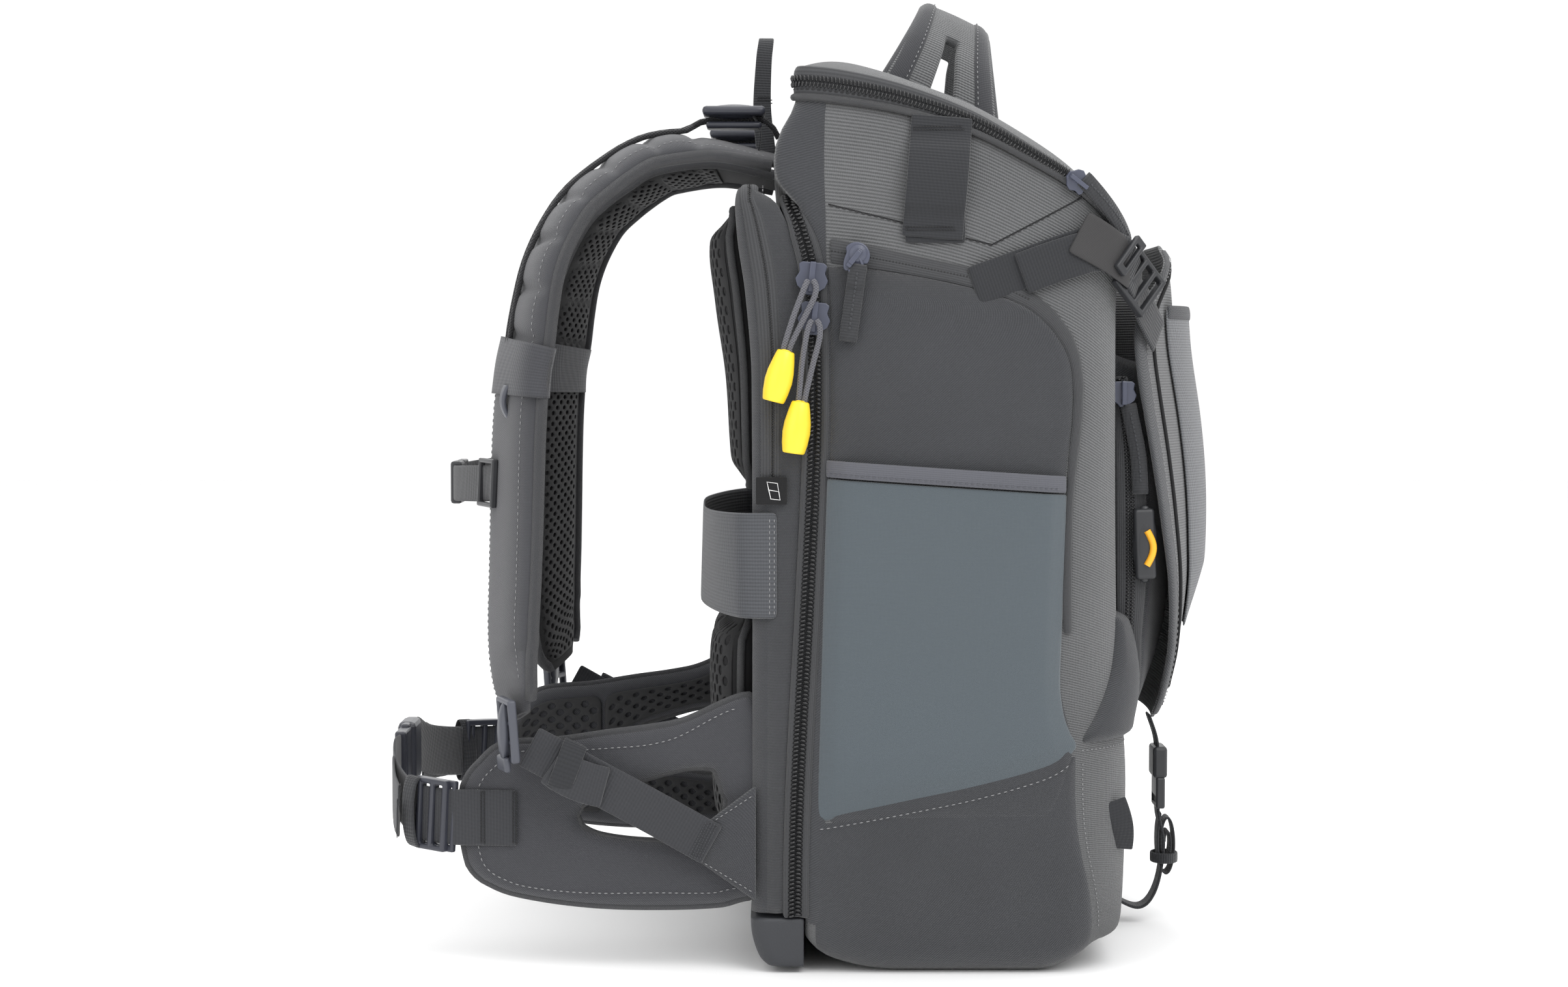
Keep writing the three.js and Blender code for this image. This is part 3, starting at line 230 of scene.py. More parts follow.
def braided(name, colour, pitch):
    """Round braid: two sets of slanting strands, on the coordinates of the piece itself."""
    finish, tree, shader, relief = textured(name, colour, 0.75, 0.0004, 0.2)
    place = tree.nodes.new("ShaderNodeTexCoord").outputs["Object"]
    waves = []
    for tilt in (1, -1):
        axis = add_node(tree, "ShaderNodeMapping", {}, Vector=place, Rotation=(radians(38 * tilt), 0, 0))
        waves.append(add_node(tree, "ShaderNodeTexWave", {"bands_direction": "Z"}, Vector=axis.outputs[0],
                              Scale=0.314 / (pitch * MM)).outputs["Fac"])
    braid = maths(tree, "MAXIMUM", *waves)
    tree.links.new(braid, relief.inputs["Height"])
    # Colour follows the braid's height: darker in the grooves between strands and lighter on them, painted shade and
    # highlight
    shade_of(tree, shader, colour, braid, 0.45, 1.25)
    return finish


def moulded(name, colour, roughness=0.38, grain=2500, bump=0.00003):
    """Moulded plastic: faintly grained, with a little uneven gloss."""
    finish, tree, shader, relief = textured(name, colour, roughness, bump)
    shader.inputs["Specular IOR Level"].default_value = 0.5
    place = tree.nodes.new("ShaderNodeTexCoord").outputs["Object"]
    fine = add_node(tree, "ShaderNodeTexNoise", {}, Vector=place, Scale=grain, Detail=2.0)
    broad = add_node(tree, "ShaderNodeTexNoise", {}, Vector=place, Scale=60.0, Detail=3.0)
    tree.links.new(fine.outputs["Fac"], relief.inputs["Height"])
    gloss = add_node(tree, "ShaderNodeMapRange", {}, Value=broad.outputs["Fac"])
    gloss.inputs["To Min"].default_value = roughness - 0.07
    gloss.inputs["To Max"].default_value = roughness + 0.1
    tree.links.new(gloss.outputs["Result"], shader.inputs["Roughness"])
    shade_of(tree, shader, colour, broad.outputs["Fac"], 0.9, 1.08)
    return finish


cord_finish = braided("grey_braid", (0.11, 0.11, 0.125), 1.1)
bead_finish = moulded("yellow_bead", (0.93, 0.66, 0.035), 0.36)
for which, (eye_y, eye_z, bead_y, bead_z, lean, out) in STRANDS.items():
    # The bead: a barrel, narrower at its top, with a flat foot and a hole for the cord
    bead = bmesh.new()
    profile = [(2.4, 0.6), (2.6, 0), (4.1, 0), (4.6, -0.5), (5.6, -4.5), (6.9, -11), (7.25, -16), (6.7, -22),
               (5.9, -26), (5.5, -27), (2.0, -27), (1.6, -26)]
    spine = [bead.verts.new((r, 0, z)) for r, z in profile]
    edges = [bead.edges.new(pair) for pair in zip(spine, spine[1:])]
    bmesh.ops.spin(bead, geom=spine + edges, cent=(0, 0, 0), axis=(0, 0, 1), angle=2 * pi, steps=32,
                   use_merge=True, use_normal_flip=False, use_duplicate=False)
    bmesh.ops.remove_doubles(bead, verts=bead.verts, dist=0.001)
    bmesh.ops.holes_fill(bead, edges=bead.edges, sides=0)
    bmesh.ops.recalc_face_normals(bead, faces=bead.faces)
    bmesh.ops.transform(bead, verts=bead.verts, matrix=Matrix.Translation((-out * MM, bead_y * MM, bead_z * MM))
                        @ Matrix.Rotation(lean, 4, "X") @ Matrix.Scale(MM, 4))
    bead_piece = object_of(f"bead_{which}", bead, bead_finish)
    bead_piece.modifiers.new("round", "BEVEL").width = 0.0004
    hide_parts(f"pull_bead_{which}")
    for side, splay in (("front", -2.6), ("rear", 2.6)):
        drop = eye_z - bead_z
        route = smooth_line([
            (-out + 1.8, eye_y + 0.55 * splay, eye_z + 1.5), (-out + 0.4, eye_y + 1.1 * splay, eye_z - 1.5),
            (-out, eye_y + 1.35 * splay + (bead_y - eye_y) * 0.12, eye_z - 0.2 * drop),
            (-out, eye_y + (bead_y - eye_y) * 0.5 + 1.1 * splay, eye_z - 0.52 * drop),
            (-out, bead_y + 0.62 * splay - 0.8, bead_z + 3), (-out, bead_y + 0.6 * splay, bead_z - 1)], 24)
        strand = curve_of(f"cord_{which}_{side}", route, CORD / 2, cord_finish)
        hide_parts(f"pull_cord_{which}")

# ---- Body of the bag
# A padded tub of ribbed heavy nylon, wider at its middle than at its rim, whose sides swell a
# little and whose lower edge rolls in under the floor. The other panels are sewn over it.
BAG_HEIGHT, BAG_DEPTH, HALF_WIDTH = 460, 200, 150
FRONT_CORNER, REAR_CORNER, BASE_ROLL, MEAN_RIM = 34, 6, 14, 430
WIDTH = [[0, 0.95], [0.12, 0.985], [0.35, 1], [0.62, 1], [0.85, 0.975], [1, 0.95], [1.1, 0.93]]
REAR = [[0, 0.345], [0.19, 0.34], [0.45, 0.31], [0.6, 0.295], [0.75, 0.295], [0.82, 0.31], [0.88, 0.365],
        [0.905, 0.42], [0.95, 0.42], [1, 0.37]]
FRONT = [[0, -0.49], [0.05, -0.505], [0.25, -0.51], [0.3, -0.49], [0.76, -0.48], [0.86, -0.5]]
SWELL = [[0, 0.02], [0.2, 0.045], [0.3, 0.03], [0.77, 0.03], [0.84, 0.11]]
RIM = [[-0.66, 0.79], [-0.56, 0.8], [-0.515, 0.83], [-0.45, 0.863], [-0.37, 0.894], [-0.27, 0.921], [-0.1, 0.959],
       [0.07, 0.982], [0.2, 0.993], [0.37, 1]]


def read(table, place):
    """Smooth reading of a table of [place, value] rows, held at both ends."""
    if place <= table[0][0]:
        return table[0][1]
    if place >= table[-1][0]:
        return table[-1][1]
    i = 0
    while place > table[i + 1][0]:
        i += 1

    def slope(k):
        if k in (0, len(table) - 1):
            return 0.0
        return (table[k + 1][1] - table[k - 1][1]) / (table[k + 1][0] - table[k - 1][0])

    (x0, y0), (x1, y1) = table[i], table[i + 1]
    w = x1 - x0
    t = (place - x0) / w
    return ((1 + 2 * t) * (1 - t) ** 2 * y0 + t * (1 - t) ** 2 * w * slope(i)
            + t * t * (3 - 2 * t) * y1 + t * t * (t - 1) * w * slope(i + 1))


def rim(y):
    return BAG_HEIGHT * read(RIM, y / BAG_DEPTH)


def bag_at(z):
    """Half width, front, rear and swell of the bag at a height."""
    t = z / BAG_HEIGHT
    roll = BASE_ROLL - sqrt(max(0, BASE_ROLL ** 2 - (BASE_ROLL - z) ** 2)) if z < BASE_ROLL else 0
    return (HALF_WIDTH * read(WIDTH, t) - roll, BAG_DEPTH * read(FRONT, t) + roll,
            BAG_DEPTH * read(REAR, t) - roll, BAG_DEPTH * read(SWELL, t))


def skin(p, z, off=0.0, side=-1):
    """A place on the bag. p is the depth along its side; past the corners it runs on round them."""
    half, front, rear, swell = bag_at(z)
    start, last = front + FRONT_CORNER, rear - REAR_CORNER
    if p > last:
        arc = p - last
        if arc <= REAR_CORNER * pi / 2:
            a = arc / REAR_CORNER
            x, y = half - REAR_CORNER + (REAR_CORNER + off) * cos(a), last + (REAR_CORNER + off) * sin(a)
        else:
            x, y = half - REAR_CORNER - (arc - REAR_CORNER * pi / 2), rear + off
    elif p >= start:
        puff = 1.6 * sin(pi * min(1, max(0, z / MEAN_RIM))) * sin(pi * (p - start) / (last - start))
        x, y = half + off + puff, p
    else:
        arc = start - p
        if arc <= FRONT_CORNER * pi / 2:
            a = arc / FRONT_CORNER
            x, y = half - FRONT_CORNER + (FRONT_CORNER + off) * cos(a), start - (FRONT_CORNER + off) * sin(a)
        else:
            x = half - FRONT_CORNER - (arc - FRONT_CORNER * pi / 2)
            y = front - swell * (1 - min(1, (x / (half - FRONT_CORNER)) ** 2)) - off
    if z < 60:
        lift = 11 * max(0, (p - 20) / 45) ** 2 + 12 * max(0, (-52 - p) / 34) ** 1.8
        z = z + min(lift, 13) * (1 - z / 60) ** 2
    return Vector((side * x, y, z))


def out_of(place, *where, side=-1):
    """Outward direction of the skin at a place."""
    return (place(*where, 1.0, side) - place(*where, 0.0, side)).normalized()


def cloth_grid(columns, rows, place, outward=None):
    """A grid of cloth whose points place(u, v) gives in millimetres. Its UV map is in metres."""
    cloth = bmesh.new()
    layer = cloth.loops.layers.uv.new("cloth")
    bmesh.ops.create_grid(cloth, x_segments=columns, y_segments=rows, size=0.5, calc_uvs=True)
    along = sum((place(i / 8, 0.5) - place((i + 1) / 8, 0.5)).length for i in range(8)) * MM
    up = sum((place(0.5, i / 8) - place(0.5, (i + 1) / 8)).length for i in range(8)) * MM
    for face in cloth.faces:
        for loop in face.loops:
            u, v = loop.vert.co.x + 0.5, loop.vert.co.y + 0.5
            loop[layer].uv = (u * along, v * up)
    for vert in cloth.verts:
        vert.co = place(vert.co.x + 0.5, vert.co.y + 0.5) * MM
    if outward is not None:
        cloth.normal_update()
        cloth.faces.ensure_lookup_table()
        total = sum((face.normal * face.calc_area() for face in cloth.faces), Vector())
        if total.dot(Vector(outward)) < 0:
            bmesh.ops.reverse_faces(cloth, faces=cloth.faces)
    return cloth


def soften(piece, levels=1):
    soft = piece.modifiers.new("soft", "SUBSURF")
    soft.levels = soft.render_levels = levels


def cloth_piece(name, grid, finish, thickness, levels=1, offset=-1.0):
    """Cloth of that thickness from a grid, its edges rounded by one subdivision."""
    piece = object_of(name, grid, finish)
    wall = piece.modifiers.new("cloth", "SOLIDIFY")
    wall.thickness, wall.offset, wall.use_even_offset = thickness * MM, offset, True
    if levels:
        soften(piece, levels)
    return piece


def closed(form, poles=True):
    """A closed form out of a grid: its seam and its poles joined, its faces turned outwards."""
    bmesh.ops.remove_doubles(form, verts=form.verts, dist=0.00002)
    if poles:
        bmesh.ops.holes_fill(form, edges=form.edges, sides=0)
    bmesh.ops.recalc_face_normals(form, faces=form.faces)
    return form


def fabric(name, colour, weave, pitch, depth, roughness=0.88, sheen=0.25, contrast=0.3):
    """Woven cloth on the piece's own UV map, in metres: twill, ribs, plain or webbing."""
    finish, tree, shader, relief = textured(name, colour, roughness, depth * MM, sheen)
    shader.inputs["Sheen Roughness"].default_value = 0.5
    coordinates = tree.nodes.new("ShaderNodeTexCoord")
    where, body = coordinates.outputs["UV"], coordinates.outputs["Object"]
    scale = 0.314159 / (pitch * MM)

    def bands(direction, factor=1.0, turn=0.0, distortion=0.0):
        axis = add_node(tree, "ShaderNodeMapping", {}, Vector=where, Rotation=(0, 0, turn))
        return add_node(tree, "ShaderNodeTexWave", {"bands_direction": direction}, Vector=axis.outputs[0],
                        Scale=scale * factor, Distortion=distortion, Detail=0.0).outputs["Fac"]

    if weave == "twill":
        height = maths(tree, "MULTIPLY", bands("X", 1, radians(45)), bands("Y", 1.9))
    elif weave == "ribs":
        height = maths(tree, "ADD", maths(tree, "MULTIPLY", bands("Y"), 0.75),
                       maths(tree, "MULTIPLY", bands("X", 1.3), 0.25))
    elif weave == "webbing":
        height = maths(tree, "ADD", maths(tree, "MULTIPLY", bands("Y"), 0.7),
                       maths(tree, "MULTIPLY", bands("X", 0.8, radians(12)), 0.3))
    else:
        height = maths(tree, "MULTIPLY", bands("X"), bands("Y"))
    fuzz = add_node(tree, "ShaderNodeTexNoise", {}, Vector=body, Scale=1400.0, Detail=3.0).outputs["Fac"]
    broad = add_node(tree, "ShaderNodeTexNoise", {}, Vector=body, Scale=22.0, Detail=4.0, Roughness=0.6).outputs["Fac"]
    tree.links.new(maths(tree, "ADD", height, maths(tree, "MULTIPLY", fuzz, 0.5)), relief.inputs["Height"])
    # Colour follows the weave's height: darker in its hollows and lighter on its crests as painted shade and highlight,
    # with real random mottling from the two noises added
    tone = maths(tree, "ADD", maths(tree, "MULTIPLY", height, 0.5),
                 maths(tree, "ADD", maths(tree, "MULTIPLY", fuzz, 0.3), maths(tree, "MULTIPLY", broad, 0.2)))
    shade_of(tree, shader, colour, tone, max(0.1, 1 - contrast * 1.5), 1 + contrast * 1.5)
    return finish


ribbed_nylon = fabric("ribbed_nylon", (0.108, 0.110, 0.113), "ribs", 1.5, 0.6, contrast=0.52)
dark_twill = fabric("dark_twill", (0.050, 0.052, 0.058), "twill", 1.0, 0.35, contrast=0.42)


def round_bag(u):
    """Side and place along the half outline, for a turn from the middle of the rear and back."""
    return (-1, 2 * u) if u <= 0.5 else (1, 2 - 2 * u)


def along_half(t, z):
    """p for a share of the half outline: rear, corner, side, corner, front."""
    half, front, rear, _ = bag_at(z)
    stops = [(0, rear - REAR_CORNER + REAR_CORNER * pi / 2 + half - REAR_CORNER),
             (0.2, rear - REAR_CORNER + REAR_CORNER * pi / 2),
             (0.24, rear - REAR_CORNER), (0.64, front + FRONT_CORNER),
             (0.8, front + FRONT_CORNER - FRONT_CORNER * pi / 2),
             (1, front + FRONT_CORNER - FRONT_CORNER * pi / 2 - (half - FRONT_CORNER))]
    for (a, pa), (b, pb) in zip(stops, stops[1:]):
        if t <= b:
            return pa + (pb - pa) * (t - a) / (b - a)
    return stops[-1][1]


def edge_at(side, t, share=1.0, off=0.0):
    """A place at a share of the rim's height, t along the half outline: the rim itself is not level."""
    z = share * MEAN_RIM
    for _ in range(3):
        z = share * rim(skin(along_half(t, z), z, 0, side).y)
    return skin(along_half(t, z), z, off, side)


def body_point(u, v):
    side, t = round_bag(u)
    if v < 0.06:  # floor
        edge = skin(along_half(t, 0), 0, 0, side)
        middle = Vector((0, -12, 2.0))
        return middle.lerp(edge, (v / 0.06) ** 0.6)
    height = min(1, (v - 0.06) / 0.88)
    edge = edge_at(side, t, height ** 1.35)
    if v <= 0.94:
        return edge
    k = (v - 0.94) / 0.06
    return edge.lerp(Vector((0, -4, rim(0) - 4)), k)


bag_body = object_of("bag_body", closed(cloth_grid(200, 84, body_point), poles=False), ribbed_nylon)
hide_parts("main_body")

# ---- Sewn panels of the two sides
# Twill panels over the ribbed body: an upright column behind, a low panel under the pocket, and
# the padded corner at the front. Each is cut to its outline and turned in at its edges.
SIDES = ((-1, "left"), (1, "right"))
COLUMN_EDGE = 57.7
FRONT_SEAM = [[0, -84], [25, -84.3], [45, -81.8], [68, -76.6], [90, -74], [122, -73.8]]
POCKET_SEAM = [[-73.8, 121.2], [-68.6, 115.1], [-56.7, 108.3], [-20.9, 97.9], [13.1, 90.7], [47.2, 84.1], [66, 81.6]]


def turned_in(u, v, columns, rows, near=1):
    """1 inside a panel and 0 along its outermost row of points, where it meets the seam."""
    i, j = min(u, 1 - u) * columns, min(v, 1 - v) * rows
    edge = min(1, min(i, j) / near)
    return sqrt(1 - (1 - edge) ** 2)


def panel(name, side, columns, rows, spot, lift, finish, thickness=1.2, levels=1):
    """A panel on the bag's skin: spot(u, v) gives p and height, lift(u, v) how far it stands off."""
    def place(u, v):
        p, z = spot(u, v)
        return skin(p, z, -0.6 + (0.6 + lift(u, v)) * turned_in(u, v, columns, rows), side)
    return cloth_piece(name, cloth_grid(columns, rows, place, (side, 0, 0)), finish, thickness, levels)


def column_spot(u, v):
    z = 20 + v * (rim(66) - 21)
    rear = bag_at(z)[2]
    front = min(COLUMN_EDGE, rear - 3.5)
    return rear + 2.5 + (front - rear - 2.5) * u, z


def low_spot(u, v):
    p = 65 + (read(FRONT_SEAM, v * 121) - 65) * u
    return p, 1.5 + v * (read(POCKET_SEAM, p) - 1.5)


def corner_spot(u, v):
    z = 122.5 + v * 66
    edge = read([[122, -74.5], [137, -83.6], [150, -92.1], [165, -100], [190, -107]], z)
    return edge + (-150 - edge) * u, z + 3 * u


def stitch_row(name, route, finish, pitch=3.5, length=2.3, radius=0.32):
    """A row of stitches along a route of (point, outward direction) pairs, in millimetres."""
    points = [Vector(p) for p, _ in route]
    outs = [Vector(n) for _, n in route]
    runs = runs_of(points)
    thread = bmesh.new()
    for i, t in places_on(runs, [(k + 0.5) * pitch for k in range(int(runs[-1] / pitch))]):
        middle, along = points[i].lerp(points[i + 1], t), (points[i + 1] - points[i]).normalized()
        out = outs[i].lerp(outs[i + 1], t)
        out = (out - along * out.dot(along)).normalized()
        across = along.cross(out)
        turn = Matrix((along, across, out)).transposed().to_4x4()
        size = Matrix.Diagonal((length / 2, radius, radius * 0.8, 1))
        bmesh.ops.create_icosphere(thread, subdivisions=1, radius=1,
                                   matrix=Matrix.Scale(MM, 4) @ Matrix.Translation(middle) @ turn @ size)
    return object_of(name, thread, finish)


def skin_route(line, off, side, steps=60):
    """Points on the skin along a line of (p, z), with their outward directions."""
    spots = evenly([(p, z, 0) for p, z in line], steps)
    return [(skin(s.x, s.y, off, side), out_of(skin, s.x, s.y, side=side)) for s in spots]


pale_thread = moulded("pale_thread", (0.22, 0.22, 0.225), 0.6)
black_thread = moulded("black_thread", (0.012, 0.012, 0.013), 0.6)
# Near-black finish: painted shadow along the groove of the V seam, and also the colour of the flap's piping
shadow_and_piping_black = moulded("seam_shadow", (0.010, 0.010, 0.011), 0.9)
for side, hand in SIDES:
    panel(f"column_panel_{hand}", side, 10, 80, column_spot, lambda u, v: 0.9, dark_twill)
    panel(f"low_panel_{hand}", side, 46, 32, low_spot,
          lambda u, v: 1.1 + 1.2 * sin(pi * u) * sin(pi * v), dark_twill)
    panel(f"corner_panel_{hand}", side, 24, 20, corner_spot,
          lambda u, v: 1.2 + 11 * sin(pi * min(1, u * 1.1 + 0.06)) ** 0.8 * sin(pi * (0.08 + 0.84 * v)) ** 0.7,
          dark_twill)
    # Stitches: the V over the side, black, and pale ones under the pocket's seam
    v_row = skin_route([(57, 404), (13.7, 393.3), (-28, 382.9), (-54, 396.4), (-79, 410)], 0.35, side)
    stitch_row(f"v_stitches_{hand}", v_row, black_thread, 3.4, 2.6, 0.42)
    # A near-black line sunk into the V seam: painted shadow in the seam's groove
    v_shadow_line = skin_route([(57, 404.3), (13.7, 393.7), (-28, 383.3), (-54, 396.8), (-80, 410.5)], -0.25, side)
    curve_of(f"v_seam_shadow_{hand}", [point for point, _ in v_shadow_line], 0.5, shadow_and_piping_black)
    low = [(p, read(POCKET_SEAM, p) - 3.4) for p in range(62, -74, -4)]
    stitch_row(f"pocket_seam_stitches_{hand}", skin_route(low, 2.9, side), pale_thread)
    corner_line = [(-75 - 5 * k, 119.5 + 0.25 * k) for k in range(14)]
    stitch_row(f"corner_stitches_{hand}", skin_route(corner_line, 0.4, side), pale_thread, 2.6, 1.6)
    rise = [(read(FRONT_SEAM, z) - 2.6, z) for z in range(18, 118, 6)]
    stitch_row(f"front_seam_stitches_{hand}", skin_route(rise, 0.4, side), pale_thread, 2.6, 1.6)

# ---- Side doors with their zips
# A padded twill door in each side. Its zip is a reversed coil, so that only two woven tapes
# show, over its top and down its front edge, where the tapes end in a narrow welt.
DOOR_FRONT = [[78, -60], [100, -68], [121, -72], [144, -66.7], [163, -64.5], [205, -66], [254, -67.5], [272, -68.5],
              [289, -70.9], [305, -71.6], [319, -70.9], [329, -67.7], [340, -60.1], [350, -49], [357.2, -32.7],
              [363.6, -7], [369.7, 25.2], [373.4, 55], [374, 57]]
TAPE_OUTER = [(56, 387.2), (34, 383), (13.7, 378.5), (-22.9, 370.6), (-34, 366.8), (-49, 359.4), (-60.5, 350),
              (-70, 337.6), (-74.8, 325.8), (-76.9, 312), (-76.4, 297), (-74.9, 280.7), (-72.6, 266), (-71, 250),
              (-70.4, 222.7), (-70.3, 181)]
TAPE_INNER = [(56, 373.2), (40, 371), (25.2, 368.9), (-7, 362.8), (-32.7, 356.2), (-48, 349), (-58.8, 339.6),
              (-66, 328.6), (-69.2, 319), (-70.2, 305), (-69.4, 289), (-67.6, 272.6), (-66.4, 250), (-65.2, 222),
              (-64.6, 200), (-65.4, 181)]


def door_spot(u, v):
    z = 80 + v * 293.6
    return 57.6 + (read(DOOR_FRONT, z) - 57.6) * u, z


def strip(name, side, outer, inner, off, crown, finish, columns=110, rows=6):
    """A tape between two lines of (p, z) on the skin, crowned across its width."""
    a, b = evenly([(*q, 0) for q in outer], columns), evenly([(*q, 0) for q in inner], columns)

    def place(u, v):
        i = min(columns, round(u * columns))
        s = a[i].lerp(b[i], v)
        return skin(s.x, s.y, off + crown * sqrt(max(0, 1 - (2 * v - 1) ** 2)), side)
    return cloth_piece(name, cloth_grid(columns, rows, place, (side, 0, 0)), finish, 1.0)


tape_cloth = fabric("zip_tape", (0.046, 0.047, 0.050), "ribs", 1.1, 0.22, 0.8, 0.15)
for side, hand in SIDES:
    door = panel(f"door_{hand}", side, 40, 60, door_spot,
                 lambda u, v: 1.6 + 1.8 * sin(pi * u) ** 0.6 * sin(pi * min(1, v * 1.02)) ** 0.5, dark_twill)
    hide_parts(f"side_door_{hand}")
    strip(f"door_tape_{hand}", side, TAPE_OUTER, TAPE_INNER, 0.2, 1.9, tape_cloth)
    middle = [((a[0] + b[0]) / 2, (a[1] + b[1]) / 2) for a, b in zip(TAPE_OUTER, TAPE_INNER)]
    stitch_row(f"door_coil_{hand}", skin_route(middle[:6], 2.0, side), black_thread, 1.7, 1.1, 0.5)

# ---- Stretch pockets on the doors
# One flat piece of smooth blue-grey stretch cloth over each door, sewn in at both sides and
# along its foot, with a hem band over its mouth.
stretch_cloth = fabric("stretch_cloth", (0.072, 0.088, 0.100), "plain", 0.7, 0.10, 0.82, 0.35, 0.08)
hem_cloth = fabric("hem_band", (0.088, 0.090, 0.104), "ribs", 1.1, 0.16, 0.8, 0.2, 0.1)


def pocket_top(u):
    return 262 - 8.4 * u


def pocket_spot(u, v):
    rear = 63.4 - 5 * v
    front = read([[0, -73.4], [0.08, -70.4], [0.2, -66.2], [0.3, -64.7], [0.6, -66], [1, -67.6]], v)
    p = rear + (front - rear) * u
    low = read(POCKET_SEAM, p)
    return p, low + v * (pocket_top(u) - low)


def sewn_sides(u):
    """0 at the sides of a pocket, where it is sewn down, and 1 between them."""
    return min(1, min(u, 1 - u) * 14) ** 0.5


def pocket_lift(u, v):
    across = max(0, 1 - abs(2 * u - 1) ** 5)
    return 2.2 + 5.6 * across ** 0.7 * min(1, 6 * v) ** 0.6


for side, hand in SIDES:
    def pocket_point(u, v):
        p, z = pocket_spot(u, v)
        return skin(p, z, 0.4 + pocket_lift(u, v) * min(1, v * 12) ** 0.5 * sewn_sides(u), side)
    pocket = cloth_piece(f"stretch_pocket_{hand}", cloth_grid(56, 60, pocket_point, (side, 0, 0)), stretch_cloth, 1.4)
    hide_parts(f"stretch_pocket_{hand}")

    def hem_point(u, v):
        p, z = pocket_spot(0.004 + 0.992 * u, 1)
        out = 0.9 + pocket_lift(u, 1) * sewn_sides(u) + 1.0 * sin(pi * (0.1 + 0.8 * v)) ** 0.5
        return skin(p, z + 0.6 + 9.2 * v, out, side)
    band = cloth_piece(f"pocket_hem_{hand}", cloth_grid(56, 6, hem_point, (side, 0, 0)), hem_cloth, 1.6)
    route = []
    for k in range(49):
        u = 0.02 + 0.96 * k / 48
        p, z = pocket_spot(u, 1)
        out = 1.9 + pocket_lift(u, 1) * sewn_sides(u)
        route.append((skin(p, z + 2.6, out, side), out_of(skin, p, z, side=side)))
    stitch_row(f"hem_stitches_{hand}", route, hem_cloth, 3.0, 2.2, 0.36)

# ---- Lid and the zip round it
# A padded dome of ribbed nylon over the rim, steep behind and low in front. A coil zip with two
# sliders runs round it from one rear corner to the other, over a rolled welt.
LID_WALL = [[-110, 5], [-60, 7], [-20, 10], [20, 13], [60, 15]]
LID_RISE = [[-110, 14], [-50, 14], [0, 12.5], [25, 13.5], [60, 15]]
LID_MIDDLE = -4.0


def lid_place(side, t, k, drop=0.0):
    """A place on the lid: t along the half outline, k from its edge (0) to its middle (1)."""
    edge = edge_at(side, t)
    x, y = edge.x * (1 - k), LID_MIDDLE + (edge.y - LID_MIDDLE) * (1 - k)
    return Vector((x, y, rim(y) + read(LID_WALL, y) + read(LID_RISE, y) * (1 - (1 - k) ** 3) - drop))


def lid_point(u, v):
    side, t = round_bag(u)
    if v < 0.12:  # upright wall, inside the zip
        top = lid_place(side, t, 0.005)
        return Vector((top.x, top.y, rim(top.y) + 0.5 + (top.z - rim(top.y) - 1.5) * v / 0.12))
    if v <= 0.92:
        k = ((v - 0.12) / 0.8) ** 1.5
        return lid_place(side, t, 0.012 + 0.988 * k)
    k = (v - 0.92) / 0.08
    return Vector((0, LID_MIDDLE, lid_place(side, t, 1).z - 14 * k))


bag_lid = object_of("bag_lid", closed(cloth_grid(160, 40, lid_point)), ribbed_nylon)
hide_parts("top_lid")


def coil(name, route, width, pitch, finish, rise=0.9):
    """The teeth of a coil zip along a route of (point, outward direction) pairs."""
    points, outs = [Vector(p) for p, _ in route], [Vector(n) for _, n in route]
    count = int(length_of(points) / pitch)
    middles = evenly(points, count * 2)
    teeth = bmesh.new()
    for k in range(1, count * 2):
        out = outs[min(len(outs) - 1, int(k / (count * 2) * len(outs)))]
        along = (middles[k + 1 if k < count * 2 else k] - middles[k - 1]).normalized()
        out = (out - along * out.dot(along)).normalized()
        across = along.cross(out)
        row = 1 if k % 2 else -1
        turn = Matrix((across, along, out)).transposed().to_4x4() @ Matrix.Rotation(0.22 * row, 4, "Z")
        size = Matrix.Diagonal((width * 0.30, pitch * 0.40, rise, 1))
        bmesh.ops.create_icosphere(teeth, subdivisions=1, radius=1, matrix=Matrix.Scale(MM, 4)
                                   @ Matrix.Translation(middles[k] + across * row * width * 0.24) @ turn @ size)
    return object_of(name, teeth, finish)


ZIP_END = 0.2  # share of the half outline where the lid's zip starts, at the rear corner


def rim_place(side, t, up, off):
    """A place beside the lid's edge: up from 0 at the rim to 1 at the lid's shoulder."""
    edge = edge_at(side, t, off=off)
    return Vector((edge.x, edge.y, rim(edge.y) + up * read(LID_WALL, edge.y)))


def rim_run(up, off, steps=140):
    """A route all round the lid's edge, from the right rear corner over the front to the left."""
    route = []
    for k in range(steps + 1):
        s = 2 * k / steps - 1
        side, t = (1 if s < 0 else -1), 1 - abs(s) * (1 - ZIP_END)
        point = rim_place(side, t, up, off)
        route.append((point, (rim_place(side, t, up, off + 1) - rim_place(side, t, up, off)).normalized()))
    return route


def on_rows(rows):
    """The place function of a tape that lies along rows of points, one row for each line of it."""
    last = len(rows[0]) - 1
    return lambda u, v: rows[round(v * (len(rows) - 1))][min(last, round(u * last))]


coil_black = moulded("coil_black", (0.014, 0.014, 0.015), 0.24)
LID_TAPE = ((-0.15, 0.3), (0.1, 1.2), (0.3, 1.3), (0.5, 1.3), (0.7, 1.3), (0.95, 1.2), (1.12, -0.8))  # up, off
band_rows = [[point for point, _ in rim_run(up, off)] for up, off in LID_TAPE]
lid_band = cloth_piece("lid_zip_tape", cloth_grid(140, 6, on_rows(band_rows), (0, -1, 0)), tape_cloth, 1.0)
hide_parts("lid_zip")
coil("lid_coil", rim_run(0.55, 1.9, 280), 6.6, 2.0, coil_black, 1.0)
welt_twill = fabric("welt_twill", (0.044, 0.045, 0.050), "twill", 0.9, 0.15)
curve_of("lid_welt", [p for p, _ in rim_run(0.02, 0.9)], 1.9, dark_twill, 3)
stitch_row("lid_welt_stitches", rim_run(0.27, 1.6), black_thread, 3.0, 2.0, 0.35)

